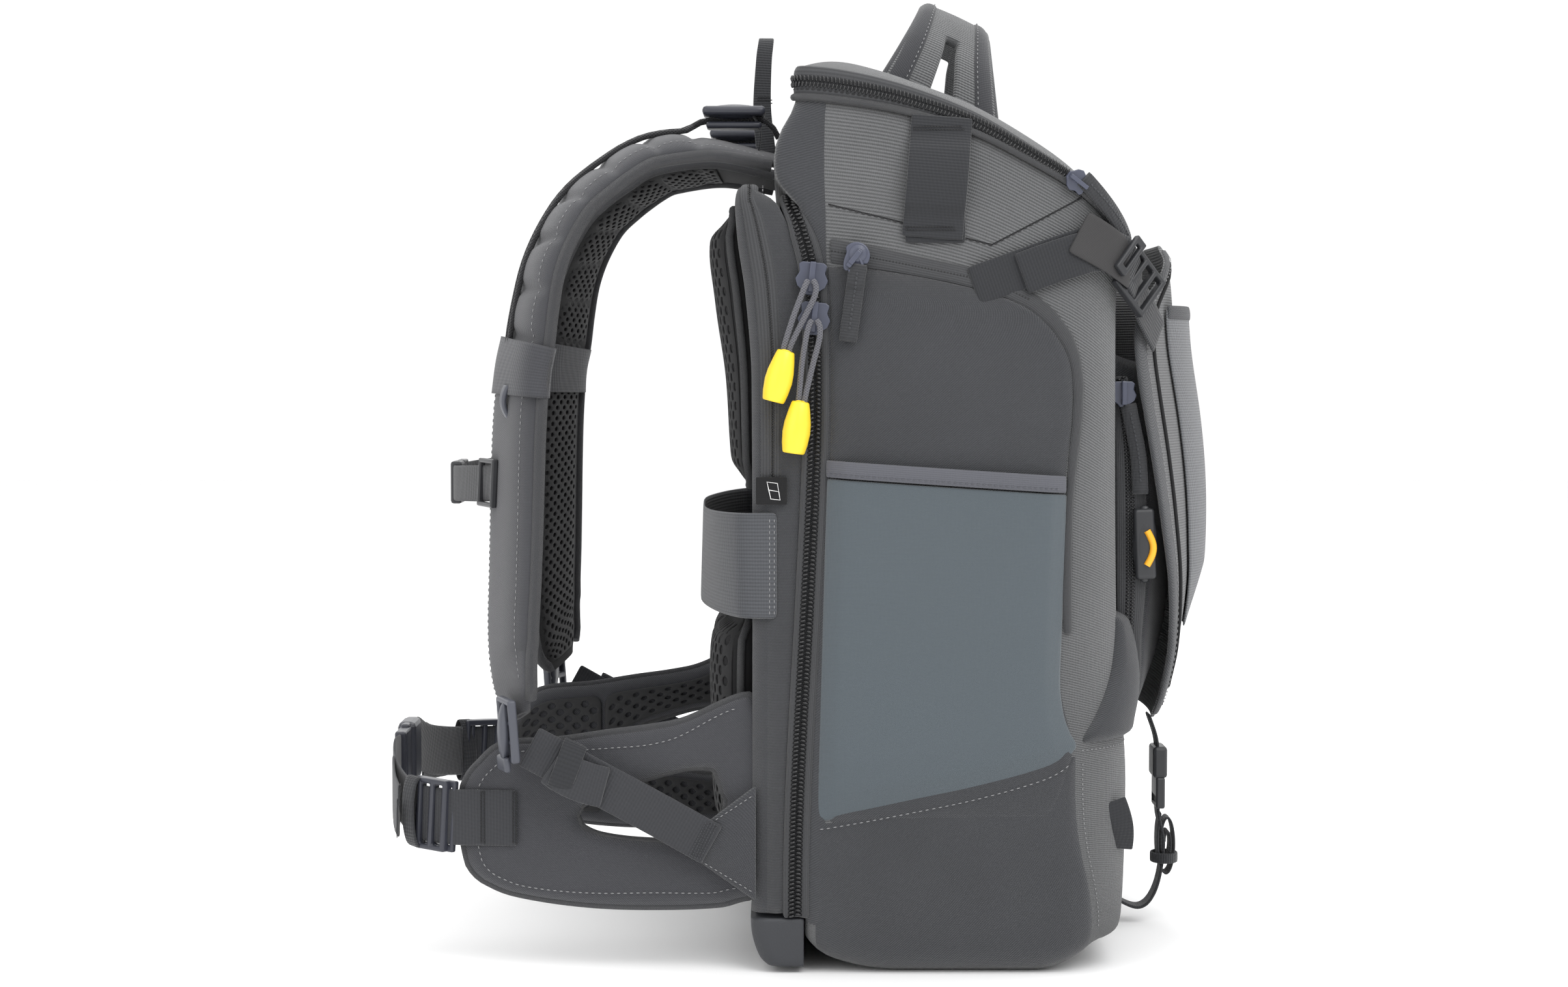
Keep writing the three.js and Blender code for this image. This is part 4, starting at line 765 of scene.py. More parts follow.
# ---- Top handle
# A padded loop of ribbed nylon across the lid, wide at its feet, with twill borders stitched
# down on both edges and a slot through each leg.
HANDLE_Y, HANDLE_SPAN, HANDLE_FOOT, HANDLE_TOP, HANDLE_LEAN = -4.0, 54.0, 456.0, 525.0, 12.0
HANDLE_ARCH = [(-1, 0), (-0.94, 0.3), (-0.78, 0.62), (-0.5, 0.88), (-0.22, 0.985), (0, 1), (0.22, 0.985),
               (0.5, 0.88), (0.78, 0.62), (0.94, 0.3), (1, 0)]
handle_rise = HANDLE_TOP - 12 - HANDLE_FOOT
handle_path = smooth_line([(x * HANDLE_SPAN, HANDLE_Y, HANDLE_FOOT + z * handle_rise) for x, z in HANDLE_ARCH], 72)


def handle_point(u, v):
    i = min(72, round(v * 72))
    point = handle_path[i]
    along = (handle_path[min(72, i + 1)] - handle_path[max(0, i - 1)]).normalized()
    out = Vector((0, -1, 0)).cross(along)
    share = min(1, max(0, (point.z - HANDLE_FOOT) / handle_rise))
    half = 0.5 * (40 + 34 * (1 - share) ** 1.2)
    slot = 8.4 - 5.0 * min(1, share / 0.62)
    a = 2 * u - 1
    if abs(a) <= 0.25:
        across = a / 0.25 * slot
    else:
        across = (slot + (half - slot) * (abs(a) - 0.25) / 0.75) * (1 if a > 0 else -1)
    crown = 1.8 * (1 - a * a) ** 0.5 if abs(a) < 1 else 0
    return point + Vector((0, across * 0.92 - HANDLE_LEAN * share, across * 0.42)) + out * crown


handle_cloth = cloth_grid(16, 72, handle_point)
layer = handle_cloth.loops.layers.uv.verify()
wide = max(loop[layer].uv.x for face in handle_cloth.faces for loop in face.loops)
long = max(loop[layer].uv.y for face in handle_cloth.faces for loop in face.loops)
slots = []
for face in handle_cloth.faces:
    u = sum(loop[layer].uv.x for loop in face.loops) / 4 / wide
    v = sum(loop[layer].uv.y for loop in face.loops) / 4 / long
    if abs(2 * u - 1) < 0.25 and not 0.27 < v < 0.73:
        slots.append(face)
bmesh.ops.delete(handle_cloth, geom=slots, context="FACES")
top_handle = cloth_piece("top_handle_loop", handle_cloth, ribbed_nylon, 6.5, 2, 0.0)
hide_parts("top_handle")


def handle_edge(a, out):
    """A line along the loop, a across it, with its directions away from the loop's middle."""
    route = []
    for k in range(4, 69):
        away = (handle_point(0.5, k / 72) - Vector((0, HANDLE_Y, 470))).normalized()
        route.append((handle_point((a + 1) / 2, k / 72) + away * out, away))
    return route


HANDLE_BORDER = ((0.62, 3.4), (0.74, 4.0), (0.88, 3.8), (1.0, 2.0), (1.06, 0), (1.0, -2.2), (0.86, -3.6))  # across, out
for edge, word in ((-1, "front"), (1, "rear")):
    border = [[point for point, _ in handle_edge(edge * a, out)] for a, out in HANDLE_BORDER]
    cloth_piece(f"handle_border_{word}", cloth_grid(64, 6, on_rows(border)), welt_twill, 1.0, 1, 0.0)
    stitch_row(f"handle_stitches_{word}", handle_edge(edge * 0.68, 4.7), pale_thread, 3.2, 2.0)

# ---- Laptop compartment, the bag's door
# A flat twill case behind the body. Its front edge is zipped to the body all round, its own
# zip runs over its top, and a coated trim carries it on the floor.
CASE_TOP = 0.9 * BAG_HEIGHT
CASE_REAR = [[0, 0.485], [0.68, 0.485], [0.78, 0.502], [0.84, 0.522], [0.9, 0.53]]
CASE_FOOT, CASE_INSET, CASE_CORNER, COIL_BAND = 30.3, 3, 8, 9.2


def case_rear(z):
    return BAG_DEPTH * read(CASE_REAR, z / BAG_HEIGHT)


def case_front(z):
    return bag_at(z)[2] + COIL_BAND + 1.4


def case_half(z):
    return bag_at(z)[0] - CASE_INSET


def case_ring(z, shrink, side, t):
    """A place round the case at a height: t from its front edge (0) to the middle of its rear (1)."""
    half, front, rear = case_half(z) - shrink, case_front(z) + shrink, case_rear(z) - shrink * 0.4
    corner = max(2.5, CASE_CORNER - shrink * 0.3)
    if t < 0.12:
        return Vector((side * (half - 6 * (1 - t / 0.12)), front, z))
    if t < 0.4:
        puff = 1.5 * sin(pi * (t - 0.12) / 0.28)
        return Vector((side * (half + puff), front + (rear - corner - front) * (t - 0.12) / 0.28, z))
    if t < 0.55:
        a = (t - 0.4) / 0.15 * pi / 2
        return Vector((side * (half - corner + corner * cos(a)), rear - corner + corner * sin(a), z))
    return Vector((side * (half - corner) * (1 - (t - 0.55) / 0.45), rear, z))


def case_point(u, v):
    side, t = round_bag(u)
    if v < 0.05:
        return case_ring(CASE_FOOT, 0, side, t).lerp(Vector((0, case_front(40) + 10, CASE_FOOT)), 1 - v / 0.05)
    if v <= 0.9:
        return case_ring(CASE_FOOT + (CASE_TOP - 12 - CASE_FOOT) * (v - 0.05) / 0.85, 0, side, t)
    a = min(1, (v - 0.9) / 0.07) * pi / 2
    top = case_ring(CASE_TOP - 12 + 12 * sin(a), 8 * (1 - cos(a)), side, t)
    if v <= 0.97:
        return top
    return top.lerp(Vector((0, (case_front(CASE_TOP) + case_rear(CASE_TOP)) / 2, CASE_TOP + 0.5)), (v - 0.97) / 0.03)


laptop_case = object_of("laptop_case", closed(cloth_grid(120, 90, case_point)), dark_twill)
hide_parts("laptop_compartment")

# ---- Zip of the rear opening
# Twill lips with a heavy black coil between them, up one side, over the top of the door and
# down the other. Two moulded sliders with grey bridges sit on the wearer's left.
ZIP_FOOT, ZIP_TOP, ZIP_GAP = 30.3, 408.5, 0.7
TOP_BAND = COIL_BAND * 0.85  # the band is a little narrower over the top


def zip_half(z):
    return bag_at(z)[0] - 1.5


def zip_route(out, share, steps=150):
    """Up the right side, over the top and down the left: share from the body (0) to the door (1)."""
    line = []
    for k in range(60):
        z = ZIP_FOOT + (ZIP_TOP - 20 - ZIP_FOOT) * k / 59
        line.append(Vector((zip_half(z) + out, bag_at(z)[2] + ZIP_GAP + share * COIL_BAND, z)))
    half = zip_half(ZIP_TOP - 10)
    for k in range(1, 9):
        a = k / 8 * pi / 2
        z = ZIP_TOP - 20 + 20 * sin(a) + out * sin(a)
        y = bag_at(min(z, ZIP_TOP - 5))[2] + ZIP_GAP + share * TOP_BAND
        line.append(Vector((half - 14 + (14 + out) * cos(a), y, z)))
    line.append(Vector((0, bag_at(ZIP_TOP - 5)[2] + ZIP_GAP + share * TOP_BAND, ZIP_TOP + out)))
    line += [Vector((-p.x, p.y, p.z)) for p in reversed(line[:-1])]
    return evenly(line, steps)


def facing(line, further):
    """(point, outward direction) pairs of a line, from the same line a little further out."""
    return [(a, (b - a).normalized()) for a, b in zip(line, further)]


LIPS = ((-0.35, -3.5), (-0.28, 1.2), (-0.05, 2.0), (0.07, 0.9), (0.2, -0.8), (0.5, -0.9), (0.8, -0.8), (0.93, 0.9),
        (1.02, 1.6), (1.2, -1.2))  # across the zip, out of it
lip_rows = [zip_route(out, share) for share, out in LIPS]
lips = cloth_piece("rear_zip_lips", cloth_grid(150, 9, on_rows(lip_rows)), tape_cloth, 1.0, 1, 0.0)
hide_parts("main_zip")
coil("rear_coil", facing(zip_route(0.7, 0.5, 300), zip_route(1.7, 0.5, 300)), 7.6, 2.2, coil_black, 1.5)

slate = moulded("slate_plastic", (0.056, 0.062, 0.092), 0.33)
SLIDER = [(-7.4, 6.2), (-5.6, 7.6), (5.6, 7.6), (7.4, 6.2), (6.6, 2.2), (8.6, -1.5), (7.2, -5.2), (4.2, -7.4),
          (2.6, -9.4), (-2.6, -9.4), (-4.2, -7.4), (-7.2, -5.2), (-8.6, -1.5), (-6.6, 2.2)]


def stood(place, up, out, scale=1.0):
    """The matrix that stands a fitting on its place: its own y goes up, its own z out."""
    out, up = Vector(out).normalized(), Vector(up)
    up = (up - out * up.dot(out)).normalized()
    turn = Matrix((up.cross(out), up, out)).transposed().to_4x4()
    return Matrix.Scale(MM, 4) @ Matrix.Translation(place) @ turn @ Matrix.Scale(scale, 4)


def add_blocks(made, rows, bevel, scale=1.0):
    """Bevelled blocks, from rows of (width, height, depth), (x, y, z)."""
    for size, spot in rows:
        place = Matrix.Translation([c * scale for c in spot]) @ Matrix.Diagonal((*(c * scale for c in size), 1))
        block = bmesh.ops.create_cube(made, size=1, matrix=place)
        edges = list({e for v in block["verts"] for e in v.link_edges})
        bmesh.ops.bevel(made, geom=edges, offset=bevel * scale, segments=2, affect="EDGES", profile=0.5, material=-1)


def slider_mesh(place, out, up, scale=1.0):
    """A moulded slider: a waisted plate, a bridge down its middle, and a nose at its foot."""
    made = bmesh.new()
    outline = [made.verts.new((x * scale, z * scale, 0)) for x, z in SLIDER]
    plate = made.faces.new(outline)
    grown = bmesh.ops.extrude_face_region(made, geom=[plate])
    bmesh.ops.translate(made, verts=[v for v in grown["geom"] if isinstance(v, bmesh.types.BMVert)],
                        vec=(0, 0, 2.6 * scale))
    bmesh.ops.recalc_face_normals(made, faces=made.faces)
    bmesh.ops.bevel(made, geom=list(made.edges), offset=0.5 * scale, segments=2, affect="EDGES", profile=0.5,
                    material=-1)
    add_blocks(made, (((3.2, 3.4, 4.2), (0, 6.2, 3.2)), ((3.2, 3.4, 4.2), (0, -6.4, 3.2)),
                      ((3.2, 15.6, 1.6), (0, -0.1, 6.0))),
               0.55, scale)
    bmesh.ops.transform(made, verts=made.verts, matrix=stood(place, up, out))
    return made


for which, z in (("upper", 366.6), ("lower", 345.9)):
    y = bag_at(z)[2] + ZIP_GAP + COIL_BAND / 2
    slider = object_of(f"rear_slider_{which}", slider_mesh((-zip_half(z) - 1.7, y, z), (-1, 0, 0), (0, -0.1, 1)),
                       slate, smooth=False)
    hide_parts(f"main_slider_{which}")

# ---- Zip of the laptop compartment
# A fine reversed coil between two woven tapes over the top of the case and half way down its
# sides, with a line of pale stitches in front of it and a plain black tab where it ends.
def case_route(y_share, out, foot=262.0, steps=120):
    """Over the case from side to side: y_share from its front (0) to its rear (1)."""
    line = []
    for k in range(40):
        z = foot + (CASE_TOP - 12 - foot) * k / 39
        y = case_front(z) + (case_rear(z) - case_front(z)) * y_share
        line.append(Vector((case_half(z) + out, y, z)))
    z = CASE_TOP - 6
    y = case_front(z) + (case_rear(z) - case_front(z)) * y_share
    half = case_half(z)
    for k in range(1, 9):
        a = k / 8 * pi / 2
        line.append(Vector((half - 12 + (12 + out) * cos(a), y, CASE_TOP - 12 + (12 + out) * sin(a))))
    line.append(Vector((0, y, CASE_TOP + out)))
    line += [Vector((-p.x, p.y, p.z)) for p in reversed(line[:-1])]
    return evenly(line, steps)


TAPES = ((0.36, -0.4), (0.42, 1.0), (0.5, 1.3), (0.57, 1.2), (0.6, 0.5), (0.63, 1.2), (0.7, 1.3), (0.78, 1.0),
         (0.84, -0.4))
tape_rows = [case_route(share, out) for share, out in TAPES]
laptop_tape = cloth_piece("laptop_zip_tape", cloth_grid(120, 8, on_rows(tape_rows)), tape_cloth, 0.9,
                          1, 0.0)
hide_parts("laptop_zip")
coil("laptop_coil", facing(case_route(0.6, 1.3), case_route(0.6, 2.3)), 2.2, 1.3, coil_black, 0.5)
stitch_row("laptop_stitches", facing(case_route(0.24, 0.9, foot=250), case_route(0.24, 1.9, foot=250)),
           pale_thread, 3.6, 2.4)

# ---- Coated trim under the case
# A hard-wearing strip of coated cloth that wraps the foot of the rear, rounded behind.
TRIM_REAR = [[0, 0.43], [0.016, 0.46], [0.04, 0.48], [0.065, 0.485]]


def trim_point(u, v):
    side, t = round_bag(u)
    z = 30.0 * min(1, v / 0.9) if v > 0.08 else 0.0
    share = z / BAG_HEIGHT
    half = bag_at(z + 6)[0] - CASE_INSET + 1
    front, rear = BAG_DEPTH * 0.345 + 0.6, BAG_DEPTH * read(TRIM_REAR, share) + 0.6
    corner = 9
    if t < 0.2:
        point = Vector((half * t / 0.2, front, z))
    elif t < 0.4:
        point = Vector((half, front + (rear - corner - front) * (t - 0.2) / 0.2, z))
    elif t < 0.6:
        a = (t - 0.4) / 0.2 * pi / 2
        point = Vector((half - corner + corner * cos(a), rear - corner + corner * sin(a), z))
    else:
        point = Vector(((half - corner) * (1 - (t - 0.6) / 0.4), rear, z))
    point.x *= side
    middle = Vector((0, (front + rear) / 2, z))
    if v <= 0.08:
        return middle.lerp(point, v / 0.08)
    if v > 0.9:
        return point.lerp(middle, (v - 0.9) / 0.1)
    return point


coated = moulded("coated_trim", (0.030, 0.032, 0.037), 0.5, 900, 0.0002)
trim_piece = object_of("foot_trim", closed(cloth_grid(120, 18, trim_point), poles=False), coated)
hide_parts("base_trim")

# ---- Pads on the rear
# Foam pads sewn to the case where it meets the wearer's back, covered with black air mesh: a
# knit of round holes in staggered rows over a dark lining.
def net(name, columns, rows, place, strand, finish, thickness=1.1):
    """Air mesh: round holes in staggered rows, made from the diamonds of a poked grid."""
    wide = sum((place(i / 8, 0.5) - place((i + 1) / 8, 0.5)).length for i in range(8)) * MM
    tall = sum((place(0.5, i / 8) - place(0.5, (i + 1) / 8)).length for i in range(8)) * MM
    knit = bmesh.new()
    bmesh.ops.create_grid(knit, x_segments=columns, y_segments=rows, size=0.5)
    bmesh.ops.scale(knit, vec=(wide, tall, 1), verts=knit.verts)
    squares = [edge for edge in knit.edges if not edge.is_boundary]
    bmesh.ops.poke(knit, faces=knit.faces[:])
    bmesh.ops.dissolve_edges(knit, edges=squares, use_verts=False)
    cells = [face for face in knit.faces if len(face.verts) == 4]
    bmesh.ops.inset_individual(knit, faces=cells, thickness=strand * MM, use_even_offset=True)
    bmesh.ops.delete(knit, geom=cells, context="FACES")
    for vert in knit.verts:
        vert.co = place(min(1, max(0, vert.co.x / wide + 0.5)), min(1, max(0, vert.co.y / tall + 0.5))) * MM
    piece = object_of(name, knit, finish)
    wall = piece.modifiers.new("strand", "SOLIDIFY")
    wall.thickness, wall.offset = thickness * MM, 0.0
    soften(piece)
    return piece


def padding(name, columns, rows, place, back, *finishes):
    """A closed pad: its crowned face from place(u, v), its flat back from back(point)."""
    pad = cloth_grid(columns, rows, place)
    bmesh.ops.recalc_face_normals(pad, faces=pad.faces)
    grown = bmesh.ops.extrude_face_region(pad, geom=pad.faces[:])
    for vert in (v for v in grown["geom"] if isinstance(v, bmesh.types.BMVert)):
        vert.co = back(vert.co / MM) * MM
    bmesh.ops.recalc_face_normals(pad, faces=pad.faces)
    return object_of(name, pad, *finishes)


knit_black = moulded("air_mesh_knit", (0.017, 0.017, 0.018), 0.75, 1800, 0.00006)
lining = fabric("pad_lining", (0.010, 0.010, 0.011), "plain", 0.8, 0.1, 0.95, 0.1)
PADS = {  # name: half width, thickness, share of the thickness over the height, depth of the middle channel
    "back_pad": (114, 18, [[0, 0.4], [0.08, 0.62], [0.35, 0.76], [0.65, 0.95], [0.9, 0.85], [1, 0.35]], 0.45),
    "lumbar_pad": (118, 23, [[0, 0.5], [0.12, 0.9], [0.5, 1], [0.88, 1], [1, 0.6]], 0.25),
}
for name, (half, thickness, table, channel) in PADS.items():
    low, high = (corner[2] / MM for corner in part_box(name))

    def pad_place(u, v, off=0.0, low=low, high=high, half=half, thickness=thickness, table=table, channel=channel):
        across = 2 * u - 1
        z = low + (high - low) * v
        narrow = 1 - 0.10 * abs(2 * v - 1) ** 4
        full = read(table, v) * max(0.06, 1 - abs(across) ** 5) ** 0.5 * min(1, 0.25 + 9 * min(v, 1 - v))
        full *= 1 - channel * max(0, 1 - (across / 0.17) ** 2)
        return Vector((across * half * narrow, case_rear(z) + 0.7 + thickness * full * 0.96 + off, z))

    core = padding(f"{name}_foam", 60, 40, pad_place, lambda p: Vector((p.x, case_rear(p.z) + 0.5, p.z)), lining)
    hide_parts(name)
    rows = int((high - low) / 10.5)
    net(f"{name}_mesh", int(half * 2 / 10.5), rows, lambda u, v: pad_place(0.02 + 0.96 * u, 0.02 + 0.96 * v, 0.5),
        1.0, knit_black)
    edge = [pad_place(u, v, 0) for u, v in [(k / 24, 0) for k in range(25)] + [(1, k / 20) for k in range(1, 21)]
            + [(1 - k / 24, 1) for k in range(1, 25)] + [(0, 1 - k / 20) for k in range(1, 20)]]
    curve_of(f"{name}_piping", edge + [edge[0] + Vector((0.4, 0, 0))], 2.2, dark_twill, 3)

# ---- Band for a trolley handle
# A wide elastic band across the rear, sewn flat to both sides of the case and bowed behind it.
BAND_Z, BAND_HEIGHT, BAND_BOW = 216.3, 56.0, 29.0
band_side, band_back = case_half(BAND_Z) + 1.5, case_rear(BAND_Z)
half_band = [(-band_side, band_back - 13), (-band_side, band_back - 2), (-band_side + 6, band_back + BAND_BOW * 0.28),
             (-band_side * 0.75, band_back + BAND_BOW * 0.68), (-band_side * 0.4, band_back + BAND_BOW * 0.95),
             (0, band_back + BAND_BOW)]
band_line = smooth_line([(x, y, BAND_Z) for x, y in half_band + [(-x, y) for x, y in half_band[-2::-1]]], 90)


def band_place(u, v, off=0.0):
    point = band_line[min(90, round(u * 90))]
    sag = 1.6 * sin(2 * pi * u * 2) * (v - 0.5)
    return Vector((point.x, point.y + sag + off, point.z + (v - 0.5) * BAND_HEIGHT * (1 - 0.05 * sin(pi * u))))


def woven(name, colour, pitch=1.6, depth=0.28):
    return fabric(name, colour, "webbing", pitch, depth, 0.8, 0.2, 0.15)


webbing_grey = woven("webbing_grey", (0.046, 0.048, 0.054))
band_cloth = fabric("elastic_band", (0.060, 0.063, 0.070), "ribs", 1.8, 0.3, 0.75, 0.25)
band = cloth_piece("handle_band", cloth_grid(90, 10, band_place), band_cloth, 1.4, 1, 0.0)
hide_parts("trolley_band")
for side, hand in SIDES:
    for k, y in enumerate((band_back - 11.5, band_back - 9.0)):
        line = [(Vector((side * (band_side + 0.9), y, BAND_Z + h)), Vector((side, 0, 0))) for h in range(-26, 27, 4)]
        stitch_row(f"band_stitches_{hand}_{k}", line, pale_thread, 3.0, 2.0, 0.3)

# ---- Label of the laptop compartment
# A small black woven label folded over the end of the compartment's zip, with a plain drawing
# of an open laptop woven into it.
label_black = fabric("label_cloth", (0.010, 0.010, 0.011), "plain", 0.5, 0.08, 0.85, 0.1)
label_white = moulded("label_thread", (0.62, 0.62, 0.62), 0.7)
LABEL_Y, LABEL_Z, LABEL_W, LABEL_H = 86.5, 255.5, 16.5, 14.6


def label_place(y, z, side, off=0.0):
    """A place on the label: y forward and z up from its middle, seen from outside."""
    return Vector((side * (case_half(LABEL_Z + z) + 1.9 + 1.5 * sin(pi * 0.55) + off), LABEL_Y + y, LABEL_Z + z))


for side, hand in SIDES:
    cloth_piece(f"laptop_label_{hand}", cloth_grid(
        10, 10, lambda u, v: label_place((0.5 - u) * LABEL_W, (v - 0.5) * LABEL_H, side), (side, 0, 0)),
        label_black, 1.0, 1, 1.0)
    screen = [(-1.6, 0.6), (-2.6, 5.2), (3.4, 4.4), (4.2, -0.4), (-1.6, 0.6)]
    base = [(-1.6, 0.6), (-0.4, -4.6), (5.0, -5.2), (4.2, -0.4)]
    for word, line in (("screen", screen), ("base", base)):
        points = [label_place(y * side * 0.9, z * 0.9, side, 1.25) for y, z in line]
        curve_of(f"label_{word}_{hand}", points, 0.28, label_white, 1)

# ---- Front pocket and its zip
# A domed pocket of twill on the front of the bag, with a coil zip down each side of it.
POCKET_HALF, POCKET_LOW, POCKET_HIGH = 106, 124.2, 328.9
POCKET_EDGE = [[0, -0.525], [0.12, -0.555], [0.25, -0.56], [0.4, -0.57], [0.7, -0.565], [0.85, -0.537], [1, -0.508]]
POCKET_MIDDLE = [[0, -0.585], [0.22, -0.665], [0.37, -0.69], [0.5, -0.69], [0.7, -0.685], [0.85, -0.67],
                 [0.96, -0.61], [1, -0.56]]


def swollen(edge, middle, u, v):
    side, centre = BAG_DEPTH * read(edge, v), BAG_DEPTH * read(middle, v)
    return side + (centre - side) * (1 - min(1, abs(u)) ** 2.2)


def front_y(x, z):
    """The bag's own front at a place across it."""
    half, front, _, swell = bag_at(z)
    return front - swell * max(0, 1 - (x / (half - FRONT_CORNER)) ** 2)


def pocket_y(x, z):
    return swollen(POCKET_EDGE, POCKET_MIDDLE, x / POCKET_HALF, (z - POCKET_LOW) / (POCKET_HIGH - POCKET_LOW))


def dome_point(u, v):
    a, b = 2 * u - 1, 2 * v - 1
    grow = max(abs(a), abs(b))
    x, z = a * POCKET_HALF, (POCKET_LOW + POCKET_HIGH) / 2 + b * (POCKET_HIGH - POCKET_LOW) / 2
    round_off = max(0, abs(a) + abs(b) - 1.62) * 0.42
    x, z = x * (1 - round_off * 0.6), z - (1 if b > 0 else -1) * round_off * 26
    wall = max(0, (grow - 0.93) / 0.07)
    y = pocket_y(min(POCKET_HALF, abs(x)), z)
    return Vector((x, y + (front_y(x, z) + 1.5 - y) * wall, z))


dome = padding("front_pocket_shell", 60, 56, dome_point, lambda p: Vector((p.x, front_y(p.x, p.z) + 2.5, p.z)),
               dark_twill)
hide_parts("front_pocket")


POCKET_TAPE = ((0.05, 0.2), (0.2, 1.0), (0.45, 1.3), (0.6, 1.3), (0.85, 1.0), (1.02, -0.4))  # share, out


def pocket_side(side, share, out, low=144.0, high=315.0, steps=60):
    """A line up the side of the pocket: share from the body (0) to its face (1)."""
    line = []
    for k in range(steps + 1):
        z = low + (high - low) * k / steps
        face, back = pocket_y(POCKET_HALF, z), front_y(POCKET_HALF, z)
        line.append(Vector((side * (POCKET_HALF + out), back + (face - back) * share, z)))
    return line


for side, hand in SIDES:
    rows = [pocket_side(side, a, o) for a, o in POCKET_TAPE]
    cloth_piece(f"pocket_tape_{hand}", cloth_grid(60, 5, on_rows(rows), (side, 0, 0)), tape_cloth, 1.0,
                1, 0.0)
    teeth = [(p, Vector((side, 0, 0))) for p in pocket_side(side, 0.5, 1.7)]
    coil(f"pocket_coil_{hand}", teeth, 5.0, 1.9, coil_black)

# ---- Flap over the pocket
# A sheet of ribbed nylon bound with twill, drawn over the pocket by two straps. A flat pocket
# of ribbed blue-grey cloth is sewn on it, piped along its mouth.
FLAP_LOW, FLAP_HIGH = 123.3, 388.7
FLAP_HALF = [[0, 0.34], [0.04, 0.5], [0.12, 0.64], [0.3, 0.74], [0.6, 0.76], [0.8, 0.73], [0.88, 0.66], [0.95, 0.5],
             [1, 0.2]]
FLAP_EDGE = [[0, -0.56], [0.035, -0.57], [0.1, -0.6], [0.165, -0.622], [0.3, -0.63], [0.43, -0.612], [0.56, -0.585],
             [0.69, -0.553], [0.8, -0.527], [0.87, -0.53], [0.93, -0.58], [1, -0.645]]
FLAP_MIDDLE = [[0, -0.645], [0.07, -0.68], [0.18, -0.715], [0.3, -0.741], [0.41, -0.75], [0.52, -0.748],
               [0.63, -0.735], [0.77, -0.708], [0.91, -0.69], [1, -0.655]]
FLAP_WIDE = HALF_WIDTH * 0.76


def flap_at(across, v, off=0.0):
    """A place on the flap: across from -1 to 1 and v from its tip (0) to its top (1)."""
    x = across * HALF_WIDTH * read(FLAP_HALF, v)
    return Vector((x, swollen(FLAP_EDGE, FLAP_MIDDLE, x / FLAP_WIDE, v) - off, FLAP_LOW + v * (FLAP_HIGH - FLAP_LOW)))


def flap_out(across, v):
    side = flap_at(min(1, across + 0.03), v) - flap_at(max(-1, across - 0.03), v)
    up = flap_at(across, min(1, v + 0.02)) - flap_at(across, max(0, v - 0.02))
    out = side.cross(up).normalized()
    return out if out.y < 0 else -out


flap = cloth_piece("flap_sheet", cloth_grid(48, 80, lambda u, v: flap_at(2 * u - 1, 0.004 + 0.992 * v), (0, -1, 0)),
                   ribbed_nylon, 2.4)
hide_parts("front_flap")


def flap_ring(inset, steps=150):
    """Round the flap's outline from the top left over its tip, inset towards its middle."""
    left = [(1 - inset / (HALF_WIDTH * read(FLAP_HALF, v)), v) for v in [0.985 - 0.97 * k / 70 for k in range(71)]]
    low = 0.015 + inset / (FLAP_HIGH - FLAP_LOW)
    side = [(-a, max(v, low)) for a, v in left if v > low * 0.7]
    ring = side + [(a, v) for a, v in ((-0.4, low), (0, low), (0.4, low))] + [(-a, v) for a, v in reversed(side)]
    points = evenly([(a * 100, v * 200, 0) for a, v in ring], steps)
    return [(p.x / 100, p.y / 200) for p in points]


BORDER = ((-0.8, -1.4), (-0.9, 0.2), (0.6, 1.0), (4, 1.2), (7.6, 1.1), (8.4, 0.2))  # inset, off
border_rows = [[flap_at(a, v, off) for a, v in flap_ring(inset)] for inset, off in BORDER]
cloth_piece("flap_border", cloth_grid(150, 5, on_rows(border_rows), (0, -1, 0)), dark_twill, 1.1, 1, 0.0)
stitch_row("flap_stitches", [(flap_at(a, v, 1.9), flap_out(a, v)) for a, v in flap_ring(6.2)], pale_thread, 3.4,
           2.3, 0.34)
curve_of("flap_piping", [flap_at(a, v, 0.9) for a, v in flap_ring(17)], 1.0, shadow_and_piping_black, 2)

FLAP_POCKET = (0.2, 0.86, 72.0, 7.0)


def flap_pocket_point(u, v, extra=0.0):
    low, high, half, depth = FLAP_POCKET
    across = 2 * u - 1
    t = low + v * (high - low)
    x = across * half * (0.82 + 0.18 * min(1, 4 * v))
    swell = max(0, 1 - across ** 4) * min(1, 5 * v)
    y = swollen(FLAP_EDGE, FLAP_MIDDLE, x / FLAP_WIDE, t) - 0.7 - depth * swell
    return Vector((x, y - extra, FLAP_LOW + t * (FLAP_HIGH - FLAP_LOW)))


light_stretch = fabric("light_stretch", (0.112, 0.116, 0.124), "ribs", 1.5, 0.5, 0.8, 0.3, 0.42)
front_stretch = cloth_piece("flap_stretch_pocket", cloth_grid(44, 50, flap_pocket_point, (0, -1, 0)), light_stretch,
                            1.4, 1, 1.0)
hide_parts("flap_pocket")
flap_hem = cloth_grid(44, 4, lambda u, v: flap_pocket_point(u, 0.965 + 0.045 * v, 1.2 + 0.5 * sin(pi * v)), (0, -1, 0))
cloth_piece("flap_pocket_hem", flap_hem, dark_twill, 1.3, 1, 0.0)

# ---- Webbing loops on the sides
# A wide webbing loop is sewn flat at its top, stands free in the middle and is sewn again at
# its foot, on each side of the bag under the lid.
def rails_of(path, side):
    """Frames along a path: point, direction along it, across the strap and out of its face."""
    made = []
    for i, point in enumerate(path):
        along = (Vector(path[min(len(path) - 1, i + 1)]) - Vector(path[max(0, i - 1)])).normalized()
        way = Vector(side[i] if isinstance(side[0], (list, tuple, Vector)) else side)
        across = (way - along * way.dot(along)).normalized()
        made.append((Vector(point), along, across, along.cross(across)))
    return made


ONCE_ROUND = [k * pi / 16 for k in range(33)]  # angles of a keeper


def on_rail(rail, a, o):
    return rail[0] + rail[2] * a + rail[3] * o


